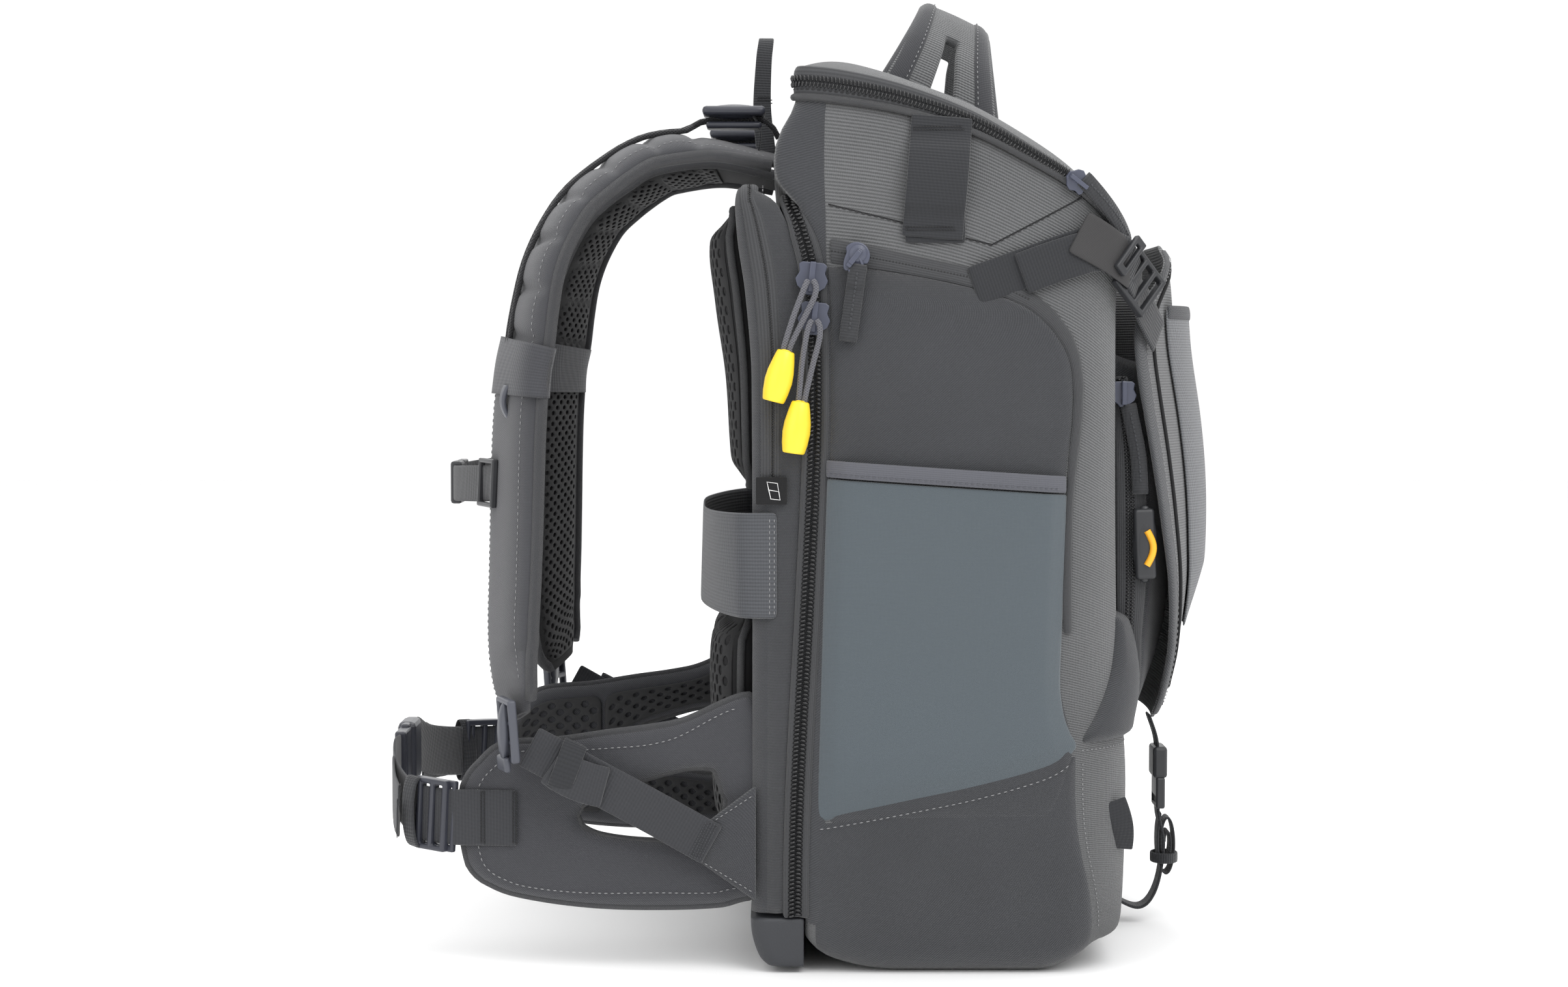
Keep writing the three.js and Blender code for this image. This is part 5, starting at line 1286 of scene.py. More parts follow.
def strap(name, path, side, width, finish, thickness=1.7, columns=8, levels=1, waist=None):
    """Flat webbing along a path in millimetres; waist(t) may narrow it."""
    rails = rails_of(path, side)
    last = len(path) - 1

    def place(u, v):
        i = min(last, round(v * last))
        return on_rail(rails[i], (u - 0.5) * width * (waist(v) if waist else 1), 0)
    return cloth_piece(name, cloth_grid(columns, last, place), finish, thickness, levels, 0.0)


def bar_tack(name, middle, across, along, width, finish, rows=3, gap=1.6):
    """Dense rows of zigzag stitches where a strap is sewn down."""
    across, along = Vector(across).normalized(), Vector(along).normalized()
    out = across.cross(along).normalized()
    route = []
    for k in range(rows):
        back = 1 if k % 2 == 0 else -1
        for j in range(13):
            route.append(Vector(middle) + across * (j / 12 - 0.5) * width * back + along * (k - (rows - 1) / 2) * gap)
    return stitch_row(name, [(p, out) for p in route], finish, 1.5, 1.5, 0.36)


loop_webbing = woven("loop_webbing", (0.022, 0.023, 0.026))
for side, hand in SIDES:
    path = []
    for k in range(41):
        t = k / 40
        z = 386.5 + t * 63.5
        p = 0.5 - 5.2 * (t - 0.5)
        sewn = min(1, max(0, (t - 0.16) * 9)) * min(1, max(0, (0.87 - t) * 7))
        off = 2.6 + 5.8 * max(0, sin(pi * min(1, max(0, (t - 0.16) / 0.71)))) ** 0.7 * sewn
        path.append(skin(p, z, off, side))
    loop = strap(f"loop_{hand}", path, (0, 1, 0), 32, loop_webbing)
    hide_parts(f"side_loop_{hand}")
    under = [skin(1.5, z, 1.4, side) for z in range(384, 403, 3)]
    strap(f"loop_foot_{hand}", under, (0, 1, 0), 31.5, loop_webbing, thickness=1.2)
    for word, z in (("top", 443.5), ("foot", 391.5)):
        place = skin(1.5 - (z - 418) * 0.08, z, 3.7, side)
        bar_tack(f"loop_tack_{word}_{hand}", place, (0, 1, 0), (0, 0, 1), 26, black_thread, 2)

# ---- Sliders of the doors and of the lid
# Moulded slate sliders with a rounded body and a ring, each with a long woven pull: webbing
# folded double and stitched down its middle.
def drop_slider(place, out, up, scale=1.0):
    """A teardrop slider: a rounded body, narrower to its ring, with a raised bridge and a nose."""
    made = bmesh.new()
    outline = []
    for k in range(28):
        a = 2 * pi * k / 28
        reach = 7.4 - 1.9 * max(0, -sin(a)) ** 2
        outline.append(made.verts.new((reach * cos(a) * (0.72 + 0.28 * (sin(a) > -0.2)),
                                       (reach if sin(a) > 0 else 10.2) * sin(a), 0)))
    plate = made.faces.new(outline)
    grown = bmesh.ops.extrude_face_region(made, geom=[plate])
    bmesh.ops.translate(made, verts=[v for v in grown["geom"] if isinstance(v, bmesh.types.BMVert)], vec=(0, 0, 3.4))
    bmesh.ops.recalc_face_normals(made, faces=made.faces)
    bmesh.ops.bevel(made, geom=list(made.edges), offset=0.7, segments=2, affect="EDGES", profile=0.5, material=-1)
    bmesh.ops.create_uvsphere(made, u_segments=20, v_segments=10, radius=1,
                              matrix=Matrix.Translation((0, 1.2, 3.2)) @ Matrix.Diagonal((5.0, 5.2, 1.7, 1)))
    add_blocks(made, (((3.0, 8.6, 1.5), (0, -1.5, 5.6)), ((3.0, 2.4, 3.2), (0, 2.6, 4.2)),
                      ((3.0, 2.4, 3.2), (0, -6.6, 4.2))), 0.5)
    bmesh.ops.transform(made, verts=made.verts, matrix=stood(place, up, out, scale))
    return made


def signed(value, power):
    """A power that keeps its sign: it squares the round of a section."""
    return (1 if value > 0 else -1) * abs(value) ** power


pull_webbing = woven("pull_webbing", (0.030, 0.031, 0.034), 1.5, 0.35)


def pull_tab(name, path, side, width=9.4):
    """A woven pull: two layers of narrow webbing with a rib of stitches down the middle."""
    rails = rails_of(path, side)
    last = len(path) - 1

    def section(u, v):
        i = min(last, round(v * last))
        a = 2 * pi * u
        c, s = cos(a), sin(a)
        end = 0.72 if i in (0, last) else 1
        return on_rail(rails[i], signed(c, 0.5) * width / 2 * (0.9 + 0.1 * end),
                       (signed(s, 0.7) * 1.5 + (0.5 if s > 0 and abs(c) < 0.25 else 0)) * end)
    piece = object_of(name, closed(cloth_grid(28, last, section)), pull_webbing)
    route = [(on_rail(r, 0, 2.2), r[3]) for r in rails[2:-2]]
    stitch_row(f"{name}_stitches", route, webbing_grey, 2.4, 1.9, 0.6)
    return piece


for side, hand in SIDES:
    place, out = skin(42.5, 377.5, 4.2, side), out_of(skin, 42.5, 377.5, side=side)
    slider = object_of(f"door_slider_{hand}", drop_slider(place, out, (0, -0.62, 0.78), 0.95), slate, smooth=False)
    path = [skin(41.6 + 0.135 * (373 - z), z, 7.2 if z > 362 else 5.6, side) for z in range(373, 331, -2)]
    tab = pull_tab(f"door_tab_{hand}", path, (0, -1, 0))
    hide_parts(f"door_pull_{hand}")
    ring = [skin(42.9 + 3.4 * cos(a), 371.5 + 5 * sin(a), 7.6, side) for a in [k * pi / 12 for k in range(24)]]
    curve_of(f"door_ring_{hand}", ring, 0.9, slate, 2)

# The lid's two sliders, on its zip at the front left corner and at the rear
lid_run = rim_run(0.55, 3.2)


def lid_fitting(word, index, turned):
    point, out = lid_run[index]
    along = (lid_run[index + 1][0] - lid_run[index - 1][0]).normalized()
    slider = object_of(f"lid_slider_{word}", slider_mesh(point, out, along * turned, 0.72), slate, smooth=False)
    return slider


front_index = min(range(141), key=lambda k: (lid_run[k][0] - Vector((-139, -76, 420))).length)
rear_index = min(range(141), key=lambda k: (lid_run[k][0] - Vector((128, 60, 467))).length)
front_slider = lid_fitting("front", front_index, -1)
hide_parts("lid_pull")
tab = pull_tab("lid_tab_front", [skin(-74 - 1.27 * k, 417.5 - 1.43 * k, 5.2) for k in range(24)],
               [out_of(skin, -74 - 1.27 * k, 417.5 - 1.43 * k).cross(Vector((0, -0.66, -0.75))) for k in range(24)])
lid_fitting("rear", rear_index, 1)

# ---- Straps that hold the flap
# On each side a webbing strap is sewn into the V seam and drawn through a ladder buckle to the
# flap; a coated tab covers its sewn end.
def add_ball(made, at, size, segments=20, rings=10):
    """A smooth oval body added to a fitting, in millimetres."""
    bmesh.ops.create_uvsphere(made, u_segments=segments, v_segments=rings, radius=1, matrix=Matrix.Scale(MM, 4)
                              @ Matrix.Translation(at) @ Matrix.Diagonal((*size, 1)))


def plate_of(xs, ys, holes, thickness, bevel, place, up, out, scale=1.0):
    """A moulded plate from grid lines: cells named in holes stay open. It stands on its middle."""
    made = bmesh.new()
    spots = {(i, j): made.verts.new((x, y, -thickness / 2)) for i, x in enumerate(xs) for j, y in enumerate(ys)}
    for i in range(len(xs) - 1):
        for j in range(len(ys) - 1):
            if (i, j) not in holes:
                made.faces.new((spots[i, j], spots[i + 1, j], spots[i + 1, j + 1], spots[i, j + 1]))
    bmesh.ops.delete(made, geom=[v for v in made.verts if not v.link_faces], context="VERTS")
    grown = bmesh.ops.extrude_face_region(made, geom=made.faces[:])
    bmesh.ops.translate(made, verts=[v for v in grown["geom"] if isinstance(v, bmesh.types.BMVert)],
                        vec=(0, 0, thickness))
    bmesh.ops.recalc_face_normals(made, faces=made.faces)
    sharp = [e for e in made.edges if len(e.link_faces) == 2 and e.calc_face_angle() > 0.5]
    bmesh.ops.bevel(made, geom=sharp, offset=bevel, segments=2, affect="EDGES", profile=0.5, material=-1)
    bmesh.ops.transform(made, verts=made.verts, matrix=stood(place, up, out, scale))
    return made


def join(*meshes):
    """One bmesh out of several."""
    whole = bmesh.new()
    for part in meshes:
        data = bpy.data.meshes.new("part")
        part.to_mesh(data)
        part.free()
        whole.from_mesh(data)
        bpy.data.meshes.remove(data)
    return whole


black_plastic = moulded("black_plastic", (0.022, 0.023, 0.026), 0.4)
coated_tab = fabric("coated_tab", (0.038, 0.037, 0.038), "plain", 0.8, 0.06, 0.55, 0.05)
for side, hand in SIDES:
    def off_corner(angle, z, off):
        half, front, _, _ = bag_at(z)
        a = radians(angle)
        return Vector((side * (half - FRONT_CORNER + (FRONT_CORNER + off) * cos(a)),
                       front + FRONT_CORNER - (FRONT_CORNER + off) * sin(a), z))

    anchor = [skin(-18 - 4.9 * k, 361.5 + 1.75 * k, 2.2, side) for k in range(14)]
    strap(f"flap_anchor_{hand}", anchor, (0, -0.42, 0.9), 21, loop_webbing, thickness=1.3)
    turns = [14, 24, 34, 43, 52, 60, 68, 76, 84]
    heights = [378.6, 380.0, 380.9, 379.4, 377.2, 372.6, 366.6, 361.0, 355.1]
    offs = [6.2, 6.5, 7.0, 7.6, 8.4, 9.2, 10.4, 11.5, 13.0]
    corner = [off_corner(a, z, o) for a, z, o in zip(turns, heights, offs)]
    start = [skin(-43, 368, 4.4, side), skin(-58, 373.5, 4.8, side)]
    end = flap_at(side * 0.66 / 0.73, 0.8, 6.2)
    path = smooth_line(start + corner + [end], 56)
    ribbon = strap(f"flap_ribbon_{hand}", path, (0, 0, 1), 22, loop_webbing)
    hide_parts(f"flap_strap_{hand}")
    # Coated tab folded over the strap
    spots = [(-71 - 3.7 * k, 390 - 2.4 * k) for k in range(9)]
    tab_path = [skin(p, z, 7.2 + 0.3 * k, side) for k, (p, z) in enumerate(spots)]
    tab_faces = [out_of(skin, p, z, side=side).cross(Vector((0, -0.78, -0.62))) for p, z in spots]
    strap(f"flap_tab_{hand}", tab_path, tab_faces, 24, coated_tab, 1.2)
    # Ladder buckle: frame with three bars and its hook
    a, b = corner[5], corner[8]
    middle, along = (a + b) / 2, (b - a).normalized()
    out = Vector((side * cos(radians(38)), -sin(radians(38)), 0.1))
    frame_plate = plate_of([-13.4, -10.8, 10.8, 13.4], [-13, -10.2, -6, -3, 2.4, 5.2, 10, 13],
                           {(1, 1), (1, 3), (1, 5)}, 4.6, 0.9, middle + out * 2.5, along, out)
    rim_bar = plate_of([-12, -8, 8, 12], [-4, -1.5, 1.5, 4], {(1, 1)}, 3.4, 0.8, a - along * 7 + out * 2, along, out)
    buckle = object_of(f"flap_ladder_{hand}", join(frame_plate, rim_bar), black_plastic, smooth=False)
    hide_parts(f"flap_buckle_{hand}")

# ---- Toggle of the front pocket
# A black moulded toggle with a bright inset, on the near edge of the pocket.
toggle_y = pocket_y(POCKET_HALF, 225.4)
body = plate_of([-5.6, -3.4, 3.4, 5.6], [-19, -16, 16, 19], set(), 6.4, 1.8,
                (-POCKET_HALF - 5.2, toggle_y + 1.5, 225.4), (0, 0.04, 1), (-1, 0, 0))
add_ball(body, (-POCKET_HALF - 5.4, toggle_y + 1.5, 225.4), (3.6, 6.6, 21), segments=18)
toggle = object_of("pocket_toggle_body", body, black_plastic)
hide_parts("pocket_toggle")
arc = [(-POCKET_HALF - 8.7, toggle_y + 0.6 - 3.4 * sin(pi * k / 12), 214 + 1.55 * k) for k in range(13)]
curve_of("toggle_inset", arc, 1.9, moulded("orange_inset", (0.90, 0.42, 0.02), 0.4), 3)
pull_path = [(-POCKET_HALF - 4.6, pocket_y(POCKET_HALF, z) + 3.4, z) for z in range(300, 250, -2)]
pull_tab("pocket_tab", pull_path, (0, -1, 0), 8.6)
knob = slider_mesh((-POCKET_HALF - 3.6, pocket_y(POCKET_HALF, 306) + 4.5, 306), (-1, 0, 0), (0, 0, 1), 0.8)
object_of("pocket_slider", knob, slate, smooth=False)

# ---- Strap for a tripod's legs
# A narrow webbing strap from the flap's tip to the foot of the bag, with a side release buckle
# and its spare end rolled up and held by a keeper.
foot_front = front_y(0, 16)
leg_line = smooth_line([(0, -129, 121.1), (0, -134, 104.9), (0, -134.4, 85.1), (0, -134.8, 64.4), (0, -138, 46),
                        (0, -134, 20.7),
                        (0, -124, 9.2), (0, foot_front - 1, 17)], 50)
thin_webbing = woven("thin_webbing", (0.026, 0.027, 0.030), 1.4)
legs = strap("tripod_webbing", leg_line, (1, 0, 0), 15, thin_webbing)
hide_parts("tripod_strap")
male = plate_of([-11, -8, 8, 11], [-9, -6.5, -2.5, 0, 9], {(1, 1)}, 5.2, 1.1, (0, -135.4, 76), (0, 0, 1), (0, -1, 0))
female = plate_of([-11, -8.6, -4, 4, 8.6, 11], [-9, 6, 9], set(), 8.2, 1.8, (0, -135.2, 93.5), (0, 0, 1), (0, -1, 0))
prongs = [plate_of([-1.6, 1.6], [-8, 8], set(), 3.0, 0.7, (x, -135.3, 84), (0, 0, 1), (0, -1, 0)) for x in (-8.6, 8.6)]
clip = object_of("tripod_clip", join(male, female, *prongs), black_plastic, smooth=False)
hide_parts("tripod_buckle")
spiral = [Vector((0, -139.8 + (2.0 + 0.52 * a) * cos(a) * 0.62, 47 + (4 + 1.3 * a) * sin(a)))
          for a in [k * 0.3 for k in range(46)]]
strap("tripod_bundle", spiral, (1, 0, 0), 14, thin_webbing, thickness=1.3)
ring = [(9.2 * cos(a), -138.8 + 7.4 * sin(a), 38) for a in ONCE_ROUND]
strap("tripod_keeper", ring, (0, 0, 1), 6, thin_webbing, thickness=1.2, columns=3)

# ---- Small loops at the foot
# A short loop of webbing sewn into each front seam.
for side, hand in SIDES:
    tab_loop = [skin(-96 - 0.4 * k, 92 - 1.5 * k, 1.6 + 2.2 * sin(pi * k / 18), side) for k in range(19)]
    strap(f"foot_loop_{hand}", tab_loop, (0, 1, 0), 12, loop_webbing)

# ---- Shoulder straps
# Quilted foam straps in twill with air mesh towards the wearer and a thick piping round both
# edges. They leave the top of the case, arch forward and run down in front of the wearer.
STRAP_WIDTH, STRAP_THICK, STRAP_REACH, STRAP_SPREAD = 68.0, 14.0, 145.0, 108.0
STRAP_BASE = case_rear(0)
STRAP_TABLE = [[-0.13, 0.932], [0.03, 0.944], [0.14, 0.95], [0.26, 0.95], [0.38, 0.943], [0.46, 0.93], [0.57, 0.905],
               [0.65, 0.88], [0.72, 0.843], [0.765, 0.807], [0.795, 0.765], [0.815, 0.728], [0.84, 0.69],
               [0.855, 0.632], [0.862, 0.574], [0.866, 0.51], [0.87, 0.45], [0.874, 0.396], [0.868, 0.356],
               [0.855, 0.328], [0.838, 0.295]]
STRAP_SIDE = [[0, 0.79], [0.3, 0.9], [0.45, 1], [0.7, 1.03], [0.9, 1.17], [1, 1.26]]
STRAP_TURN = [[0, 0.3], [0.35, 0.6], [0.55, 0.9], [1, 0.9]]
STRAP_FULL = [[0, 0.45], [0.1, 0.6], [0.16, 1], [0.9, 1], [1, 0.5]]
STRAP_SPAN = [[0, 0.78], [0.12, 0.92], [0.25, 1], [0.9, 1], [0.97, 0.86], [1, 0.6]]
STEPS = 180
strap_line = smooth_line([(-STRAP_SPREAD * read(STRAP_SIDE, i / 20),
                           STRAP_BASE + y * STRAP_REACH + (0.7 if i else 0), z * BAG_HEIGHT)
                          for i, (y, z) in enumerate(STRAP_TABLE)], STEPS)


def strap_frames():
    made = []
    for i, point in enumerate(strap_line):
        along = (strap_line[min(STEPS, i + 3)] - strap_line[max(0, i - 3)]).normalized()
        turn = radians(22) * read(STRAP_TURN, i / STEPS)
        out = along.cross(Vector((-1, 0, 0))).normalized()
        side = Vector((-cos(turn), -sin(turn) * out.y, -sin(turn) * out.z))
        across = (side - along * side.dot(along)).normalized()
        made.append((point, along, across, along.cross(across)))
    return made


strap_rails = strap_frames()
QUILT = [0.125 + 0.062 * k for k in range(8)]  # seams across the strap, as shares of its length


def quilted(t):
    """Thickness left beside the seams across the strap."""
    near = min(abs(t - seam) for seam in QUILT)
    return 1 - 0.42 * max(0, 1 - (near / 0.012)) ** 1.5 + 0.10 * min(1, near / 0.03)


def strap_size(t):
    """Width and thickness of a strap at a share of its length."""
    return STRAP_WIDTH * read(STRAP_SPAN, t), STRAP_THICK * read(STRAP_FULL, t)


def on_strap(t, a, o, side=-1):
    """A place on a strap: t along it, a across and o out of its face, in millimetres."""
    k = min(STEPS - 1e-6, max(0, t * STEPS))
    i = int(k)
    one, two = strap_rails[i], strap_rails[i + 1]
    point = one[0].lerp(two[0], k - i) + one[2].lerp(two[2], k - i) * a + one[3].lerp(two[3], k - i) * o
    return Vector((-side * point.x, point.y, point.z))


def strap_out(t, side=-1):
    return (on_strap(t, 0, 1, side) - on_strap(t, 0, 0, side)).normalized()


strap_twill = fabric("strap_twill", (0.058, 0.059, 0.066), "twill", 0.9, 0.22)
strap_welt = fabric("strap_welt", (0.044, 0.045, 0.051), "twill", 0.9, 0.18)
for side, hand in SIDES:
    def strap_point(u, v):
        angle = 2 * pi * u
        c, s = cos(angle), sin(angle)
        t = min(1, max(0, (v - 0.012) / 0.976))
        end = min(1, v / 0.012, (1 - v) / 0.012)
        end = 0.25 + 0.75 * sqrt(max(0, 1 - (1 - end) ** 2)) if end < 1 else 1
        span, thick = strap_size(t)
        a = signed(c, 0.6) * (span - 3) / 2 * (0.6 + 0.4 * end)
        o = signed(s, 0.85) * thick / 2 * end * (quilted(t) * 1.08 if s > 0 else 0.86)
        return on_strap(t, a, o, side)
    pad = object_of(f"strap_{hand}", closed(cloth_grid(36, 170, strap_point)), strap_twill, lining)
    for face in pad.data.polygons:
        middle = face.center / MM
        best = min(range(0, STEPS, 3), key=lambda i: (on_strap(i / STEPS, 0, 0, side) - middle).length)
        if (middle - on_strap(best / STEPS, 0, 0, side)).dot(strap_out(best / STEPS, side)) < -2.4:
            face.material_index = 1
    soften(pad)
    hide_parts(f"shoulder_strap_{hand}")
    # Air mesh over its inner face, and piping down both edges
    def mesh_point(u, v):
        t = 0.10 + 0.885 * v
        span, thick = strap_size(t)
        a = (2 * u - 1) * (span - 12) / 2
        puff = 1 - 0.35 * max(0, 1 - min(abs(t - seam) for seam in QUILT) / 0.010)
        return on_strap(t, a, -thick / 2 * 0.86 * (max(0, 1 - abs(2 * u - 1) ** 3.4)) ** 0.5 * puff - 1.0, side)
    net(f"strap_mesh_{hand}", 6, 56, mesh_point, 1.0, knit_black)
    for edge, word in ((1, "outer"), (-1, "inner")):
        line = []
        for k in range(141):
            t = 0.02 + 0.965 * k / 140
            span, thick = strap_size(t)
            line.append(on_strap(t, edge * (span / 2 - 1.9), -thick * 0.2, side))
        curve_of(f"strap_piping_{word}_{hand}", line, 3.3, strap_welt, 4)
        row = []
        for k in range(141):
            t = 0.03 + 0.94 * k / 140
            span, thick = strap_size(t)
            row.append((on_strap(t, edge * (span / 2 - 6.5), thick / 2 * 0.72 * quilted(t) * 1.08 + 0.1, side),
                        strap_out(t, side)))
        stitch_row(f"strap_stitches_{word}_{hand}", row, pale_thread, 3.4, 2.2, 0.3)
    for number, t in enumerate(QUILT):
        thick = strap_size(t)[1]
        row = [(on_strap(t, a, thick / 2 * quilted(t) * (1 - (abs(a) / 36) ** 3) + 0.3, side), strap_out(t, side))
               for a in range(-27, 28, 3)]
        stitch_row(f"quilt_{number}_{hand}", row, pale_thread, 3.4, 2.4, 0.34)

# Elastic sleeve round each strap that gathers the cord's end, with its hook below
SLEEVE_Z = 0.692 * BAG_HEIGHT


def strap_share(z):
    """Share of the strap's length where it passes a height on its way down."""
    return min((i / STEPS for i in range(60, STEPS + 1)), key=lambda t: abs(on_strap(t, 0, 0).z - z))


sleeve_t, sleeve_half = strap_share(SLEEVE_Z), 20.0 / 560
sleeve_cloth = woven("sleeve_webbing", (0.046, 0.047, 0.053), 1.8)
hook_slate = moulded("hook_slate", (0.062, 0.066, 0.082), 0.4)
for side, hand in SIDES:
    def sleeve_point(u, v):
        angle = 2 * pi * u
        c, s = cos(angle), sin(angle)
        t = sleeve_t + (2 * v - 1) * sleeve_half
        flare = 1 + 0.02 * (2 * v - 1) ** 2
        return on_strap(t, signed(c, 0.55) * (STRAP_WIDTH / 2 + 2.1) * flare,
                        signed(s, 0.75) * (STRAP_THICK / 2 + 2.2) * flare, side)
    sleeve = object_of(f"sleeve_{hand}", closed(cloth_grid(44, 14, sleeve_point), poles=False), sleeve_cloth)
    wall = sleeve.modifiers.new("cloth", "SOLIDIFY")
    wall.thickness, wall.offset = 1.6 * MM, 0.0
    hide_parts(f"strap_sleeve_{hand}")
    hook_t = sleeve_t + sleeve_half
    hook = [on_strap(hook_t - 0.012 + 0.0022 * k, 8, 9.5 + 3.2 * sin(k / 16 * pi / 1.6) - 0.012 * k * k, side)
            for k in range(20)]
    strap(f"cord_hook_{hand}", hook, strap_rails[int(hook_t * STEPS)][2], 8, hook_slate, 2.6, 4, 1,
          lambda v: 1 - 0.45 * v)

# ---- Cords that lift the straps
# Two strands of black cord run from each sleeve up the strap, through a flat cord lock and
# into the seam at the top of the bag. They are drawn tight along the strap.
black_braid = braided("black_braid", (0.016, 0.016, 0.018), 1.2)
lock_slate = moulded("lock_slate", (0.030, 0.032, 0.043), 0.36)
LIFT = STRAP_THICK / 2 + 3.2
for side, hand in SIDES:
    start = sleeve_t - sleeve_half * 0.6
    run = [start + (0.11 - start) * k / 16 for k in range(17)]
    lock_x = abs(on_strap(0.13, -8, 0).x) - 3
    lock_y, lock_z = 0.52 * BAG_DEPTH + 3, 0.987 * BAG_HEIGHT
    for word, shift in (("outer", 2.4), ("inner", -2.4)):
        points = [on_strap(t, -8 - shift, LIFT * (0.9 if k == 0 else 1.0) - 1.0, side) for k, t in enumerate(run)]
        points = [p for p in points if p.y > lock_y + 24]
        points += [(side * (lock_x + shift), lock_y + 17, lock_z - 1.5), (side * (lock_x + shift), lock_y, lock_z),
                   (side * (lock_x + shift), lock_y - 17, lock_z - 1),
                   (side * (lock_x - 3 + shift), bag_at(444)[2] + 2.0, 444.0)]
        route = smooth_line(points, 38)
        strand = curve_of(f"lifter_{word}_{hand}", route, 1.6, black_braid)
        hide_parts(f"lifter_cord_{hand}")
    # The lock: an oval body with a grip at each end, open for the cords along its middle
    body = plate_of([-13, -9.5, 9.5, 13], [-17, -12, 12, 17], set(), 5.0, 2.0,
                    (side * lock_x, lock_y, lock_z + 3.6), (0, 1, 0), (0, 0, 1))
    grip = plate_of([-9, -6, 6, 9], [-15, -10, 10, 15], set(), 3.6, 1.4, (side * lock_x, lock_y, lock_z - 3.8),
                    (0, 1, 0), (0, 0, 1))
    add_ball(body, (side * lock_x, lock_y, lock_z + 3.4), (11.6, 16.6, 4.4), 22, 12)
    lock = object_of(f"cord_lock_{hand}", join(body, grip), lock_slate)
    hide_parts(f"lifter_lock_{hand}")
    tail = smooth_line([(side * (lock_x + 1), lock_y - 8, lock_z + 5), (side * (lock_x + 4), lock_y - 14, lock_z - 6),
                        (side * (lock_x + 5), lock_y - 13, lock_z - 20)], 14)
    strap(f"lock_tail_{hand}", tail, (1, 0, 0), 9, thin_webbing, thickness=1.3, columns=3)

# ---- Loop to hang the bag by
# A narrow doubled webbing loop, sewn behind the lid and stitched across near its foot.
hang_y = bag_at(439)[2] + 6.6
arch = [(-1, 0), (-0.95, 0.4), (-0.9, 0.8), (-0.55, 0.96), (0, 1), (0.55, 0.96), (0.9, 0.8), (0.95, 0.4), (1, 0)]
hang_line = smooth_line([(x * 9, hang_y + 2.5 * sin(pi * t), 439.3 + t * 66) for x, t in arch], 60)
hang = strap("hang_webbing", hang_line, (0, 1, 0), 11, thin_webbing, waist=lambda v: 1 - 0.22 * sin(pi * v) ** 2)
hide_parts("hang_loop")
for side, hand in SIDES:
    bar_tack(f"hang_tack_{hand}", (side * 9.9, hang_y + 0.5, 471), (0, 1, 0), (0, 0, 1), 8, black_thread, 2)

# ---- Chest strap
# Narrow webbing from strap to strap with a side release buckle in its middle.
chest_t = strap_share(0.56 * BAG_HEIGHT)
a, b = on_strap(chest_t, -6, 9), on_strap(chest_t, -28.6, 9)
bow = b.y + 24
half = [(a.x, a.y, a.z), (b.x, b.y, b.z), (b.x * 0.62, b.y + 14.9, a.z - 3), (-27, bow, a.z - 4)]
chest_line = smooth_line(half + [(0, bow, a.z - 4)] + [(-x, y, z) for x, y, z in half[::-1]], 90)
chest = strap("chest_webbing", chest_line, (0, 0, 1), 20, loop_webbing)
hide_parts("sternum_strap")
chest_z = a.z - 4
parts = [plate_of([-9, -6, 6, 9], [-12, -9, 9, 12], set(), 6.4, 1.6, (-12.5, bow, chest_z), (0, 0, 1), (0, 1, 0)),
         plate_of([-9.5, -7, -3.5, 3.5, 9.5], [-12, -9.4, 9.4, 12], {(1, 1)}, 4.8, 1.0, (11.5, bow, chest_z),
                  (0, 0, 1), (0, 1, 0)),
         plate_of([-8, 8], [-1.8, 1.8], set(), 3.2, 0.8, (0, bow, chest_z + 8.6), (0, 0, 1), (0, 1, 0)),
         plate_of([-8, 8], [-1.8, 1.8], set(), 3.2, 0.8, (0, bow, chest_z - 8.6), (0, 0, 1), (0, 1, 0))]
chest_clip = object_of("chest_clip", join(*parts), black_plastic, smooth=False)
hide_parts("sternum_buckle")
for side, hand in SIDES:
    spot = on_strap(chest_t, -20, 10.6, side)
    rail = strap_rails[int(chest_t * STEPS)]
    out = Vector((-side * rail[3].x, rail[3].y, rail[3].z))
    slide = plate_of([-15, -12, 12, 15], [-13, -10.5, 10.5, 13], {(1, 1)}, 3.6, 0.9, spot, (0, 0, 1), out)
    object_of(f"chest_slide_{hand}", slide, black_plastic, smooth=False)

# ---- Wings of the hip belt
# Padded twill wings with air mesh on their inner face, piping round the outline, a row of pale
# stitches inside it and an overlocked slot towards the lumbar pad.
WING_ROOT, WING_REACH, WING_THICK, BELT_SPREAD = case_rear(0) + 0.7, 206 * 0.755, 11.0, 134.0
WING_TOP = [[0, 0.32], [0.06, 0.315], [0.22, 0.291], [0.33, 0.283], [0.48, 0.276], [0.65, 0.267], [0.855, 0.26],
            [0.92, 0.242], [0.985, 0.21], [1, 0.165]]
WING_LOW = [[0, 0.086], [0.1, 0.078], [0.33, 0.0745], [0.55, 0.0765], [0.77, 0.086], [0.88, 0.097], [0.965, 0.12],
            [1, 0.165]]
SLOT_TOP = [[0.08, 0.2], [0.13, 0.235], [0.42, 0.216], [0.5, 0.202], [0.57, 0.192], [0.59, 0.18]]
SLOT_LOW = [[0.08, 0.2], [0.1, 0.151], [0.33, 0.151], [0.5, 0.157], [0.575, 0.168], [0.59, 0.18]]
WING_CENTRE = (0.33 * WING_REACH, 0.189 * BAG_HEIGHT)


def on_wing(y, z, off, side=-1):
    """A place on a wing: y from its root and z in millimetres, off its middle layer."""
    return Vector((side * (BELT_SPREAD - 9 * (y / WING_REACH) ** 2 + off), WING_ROOT + y, z))


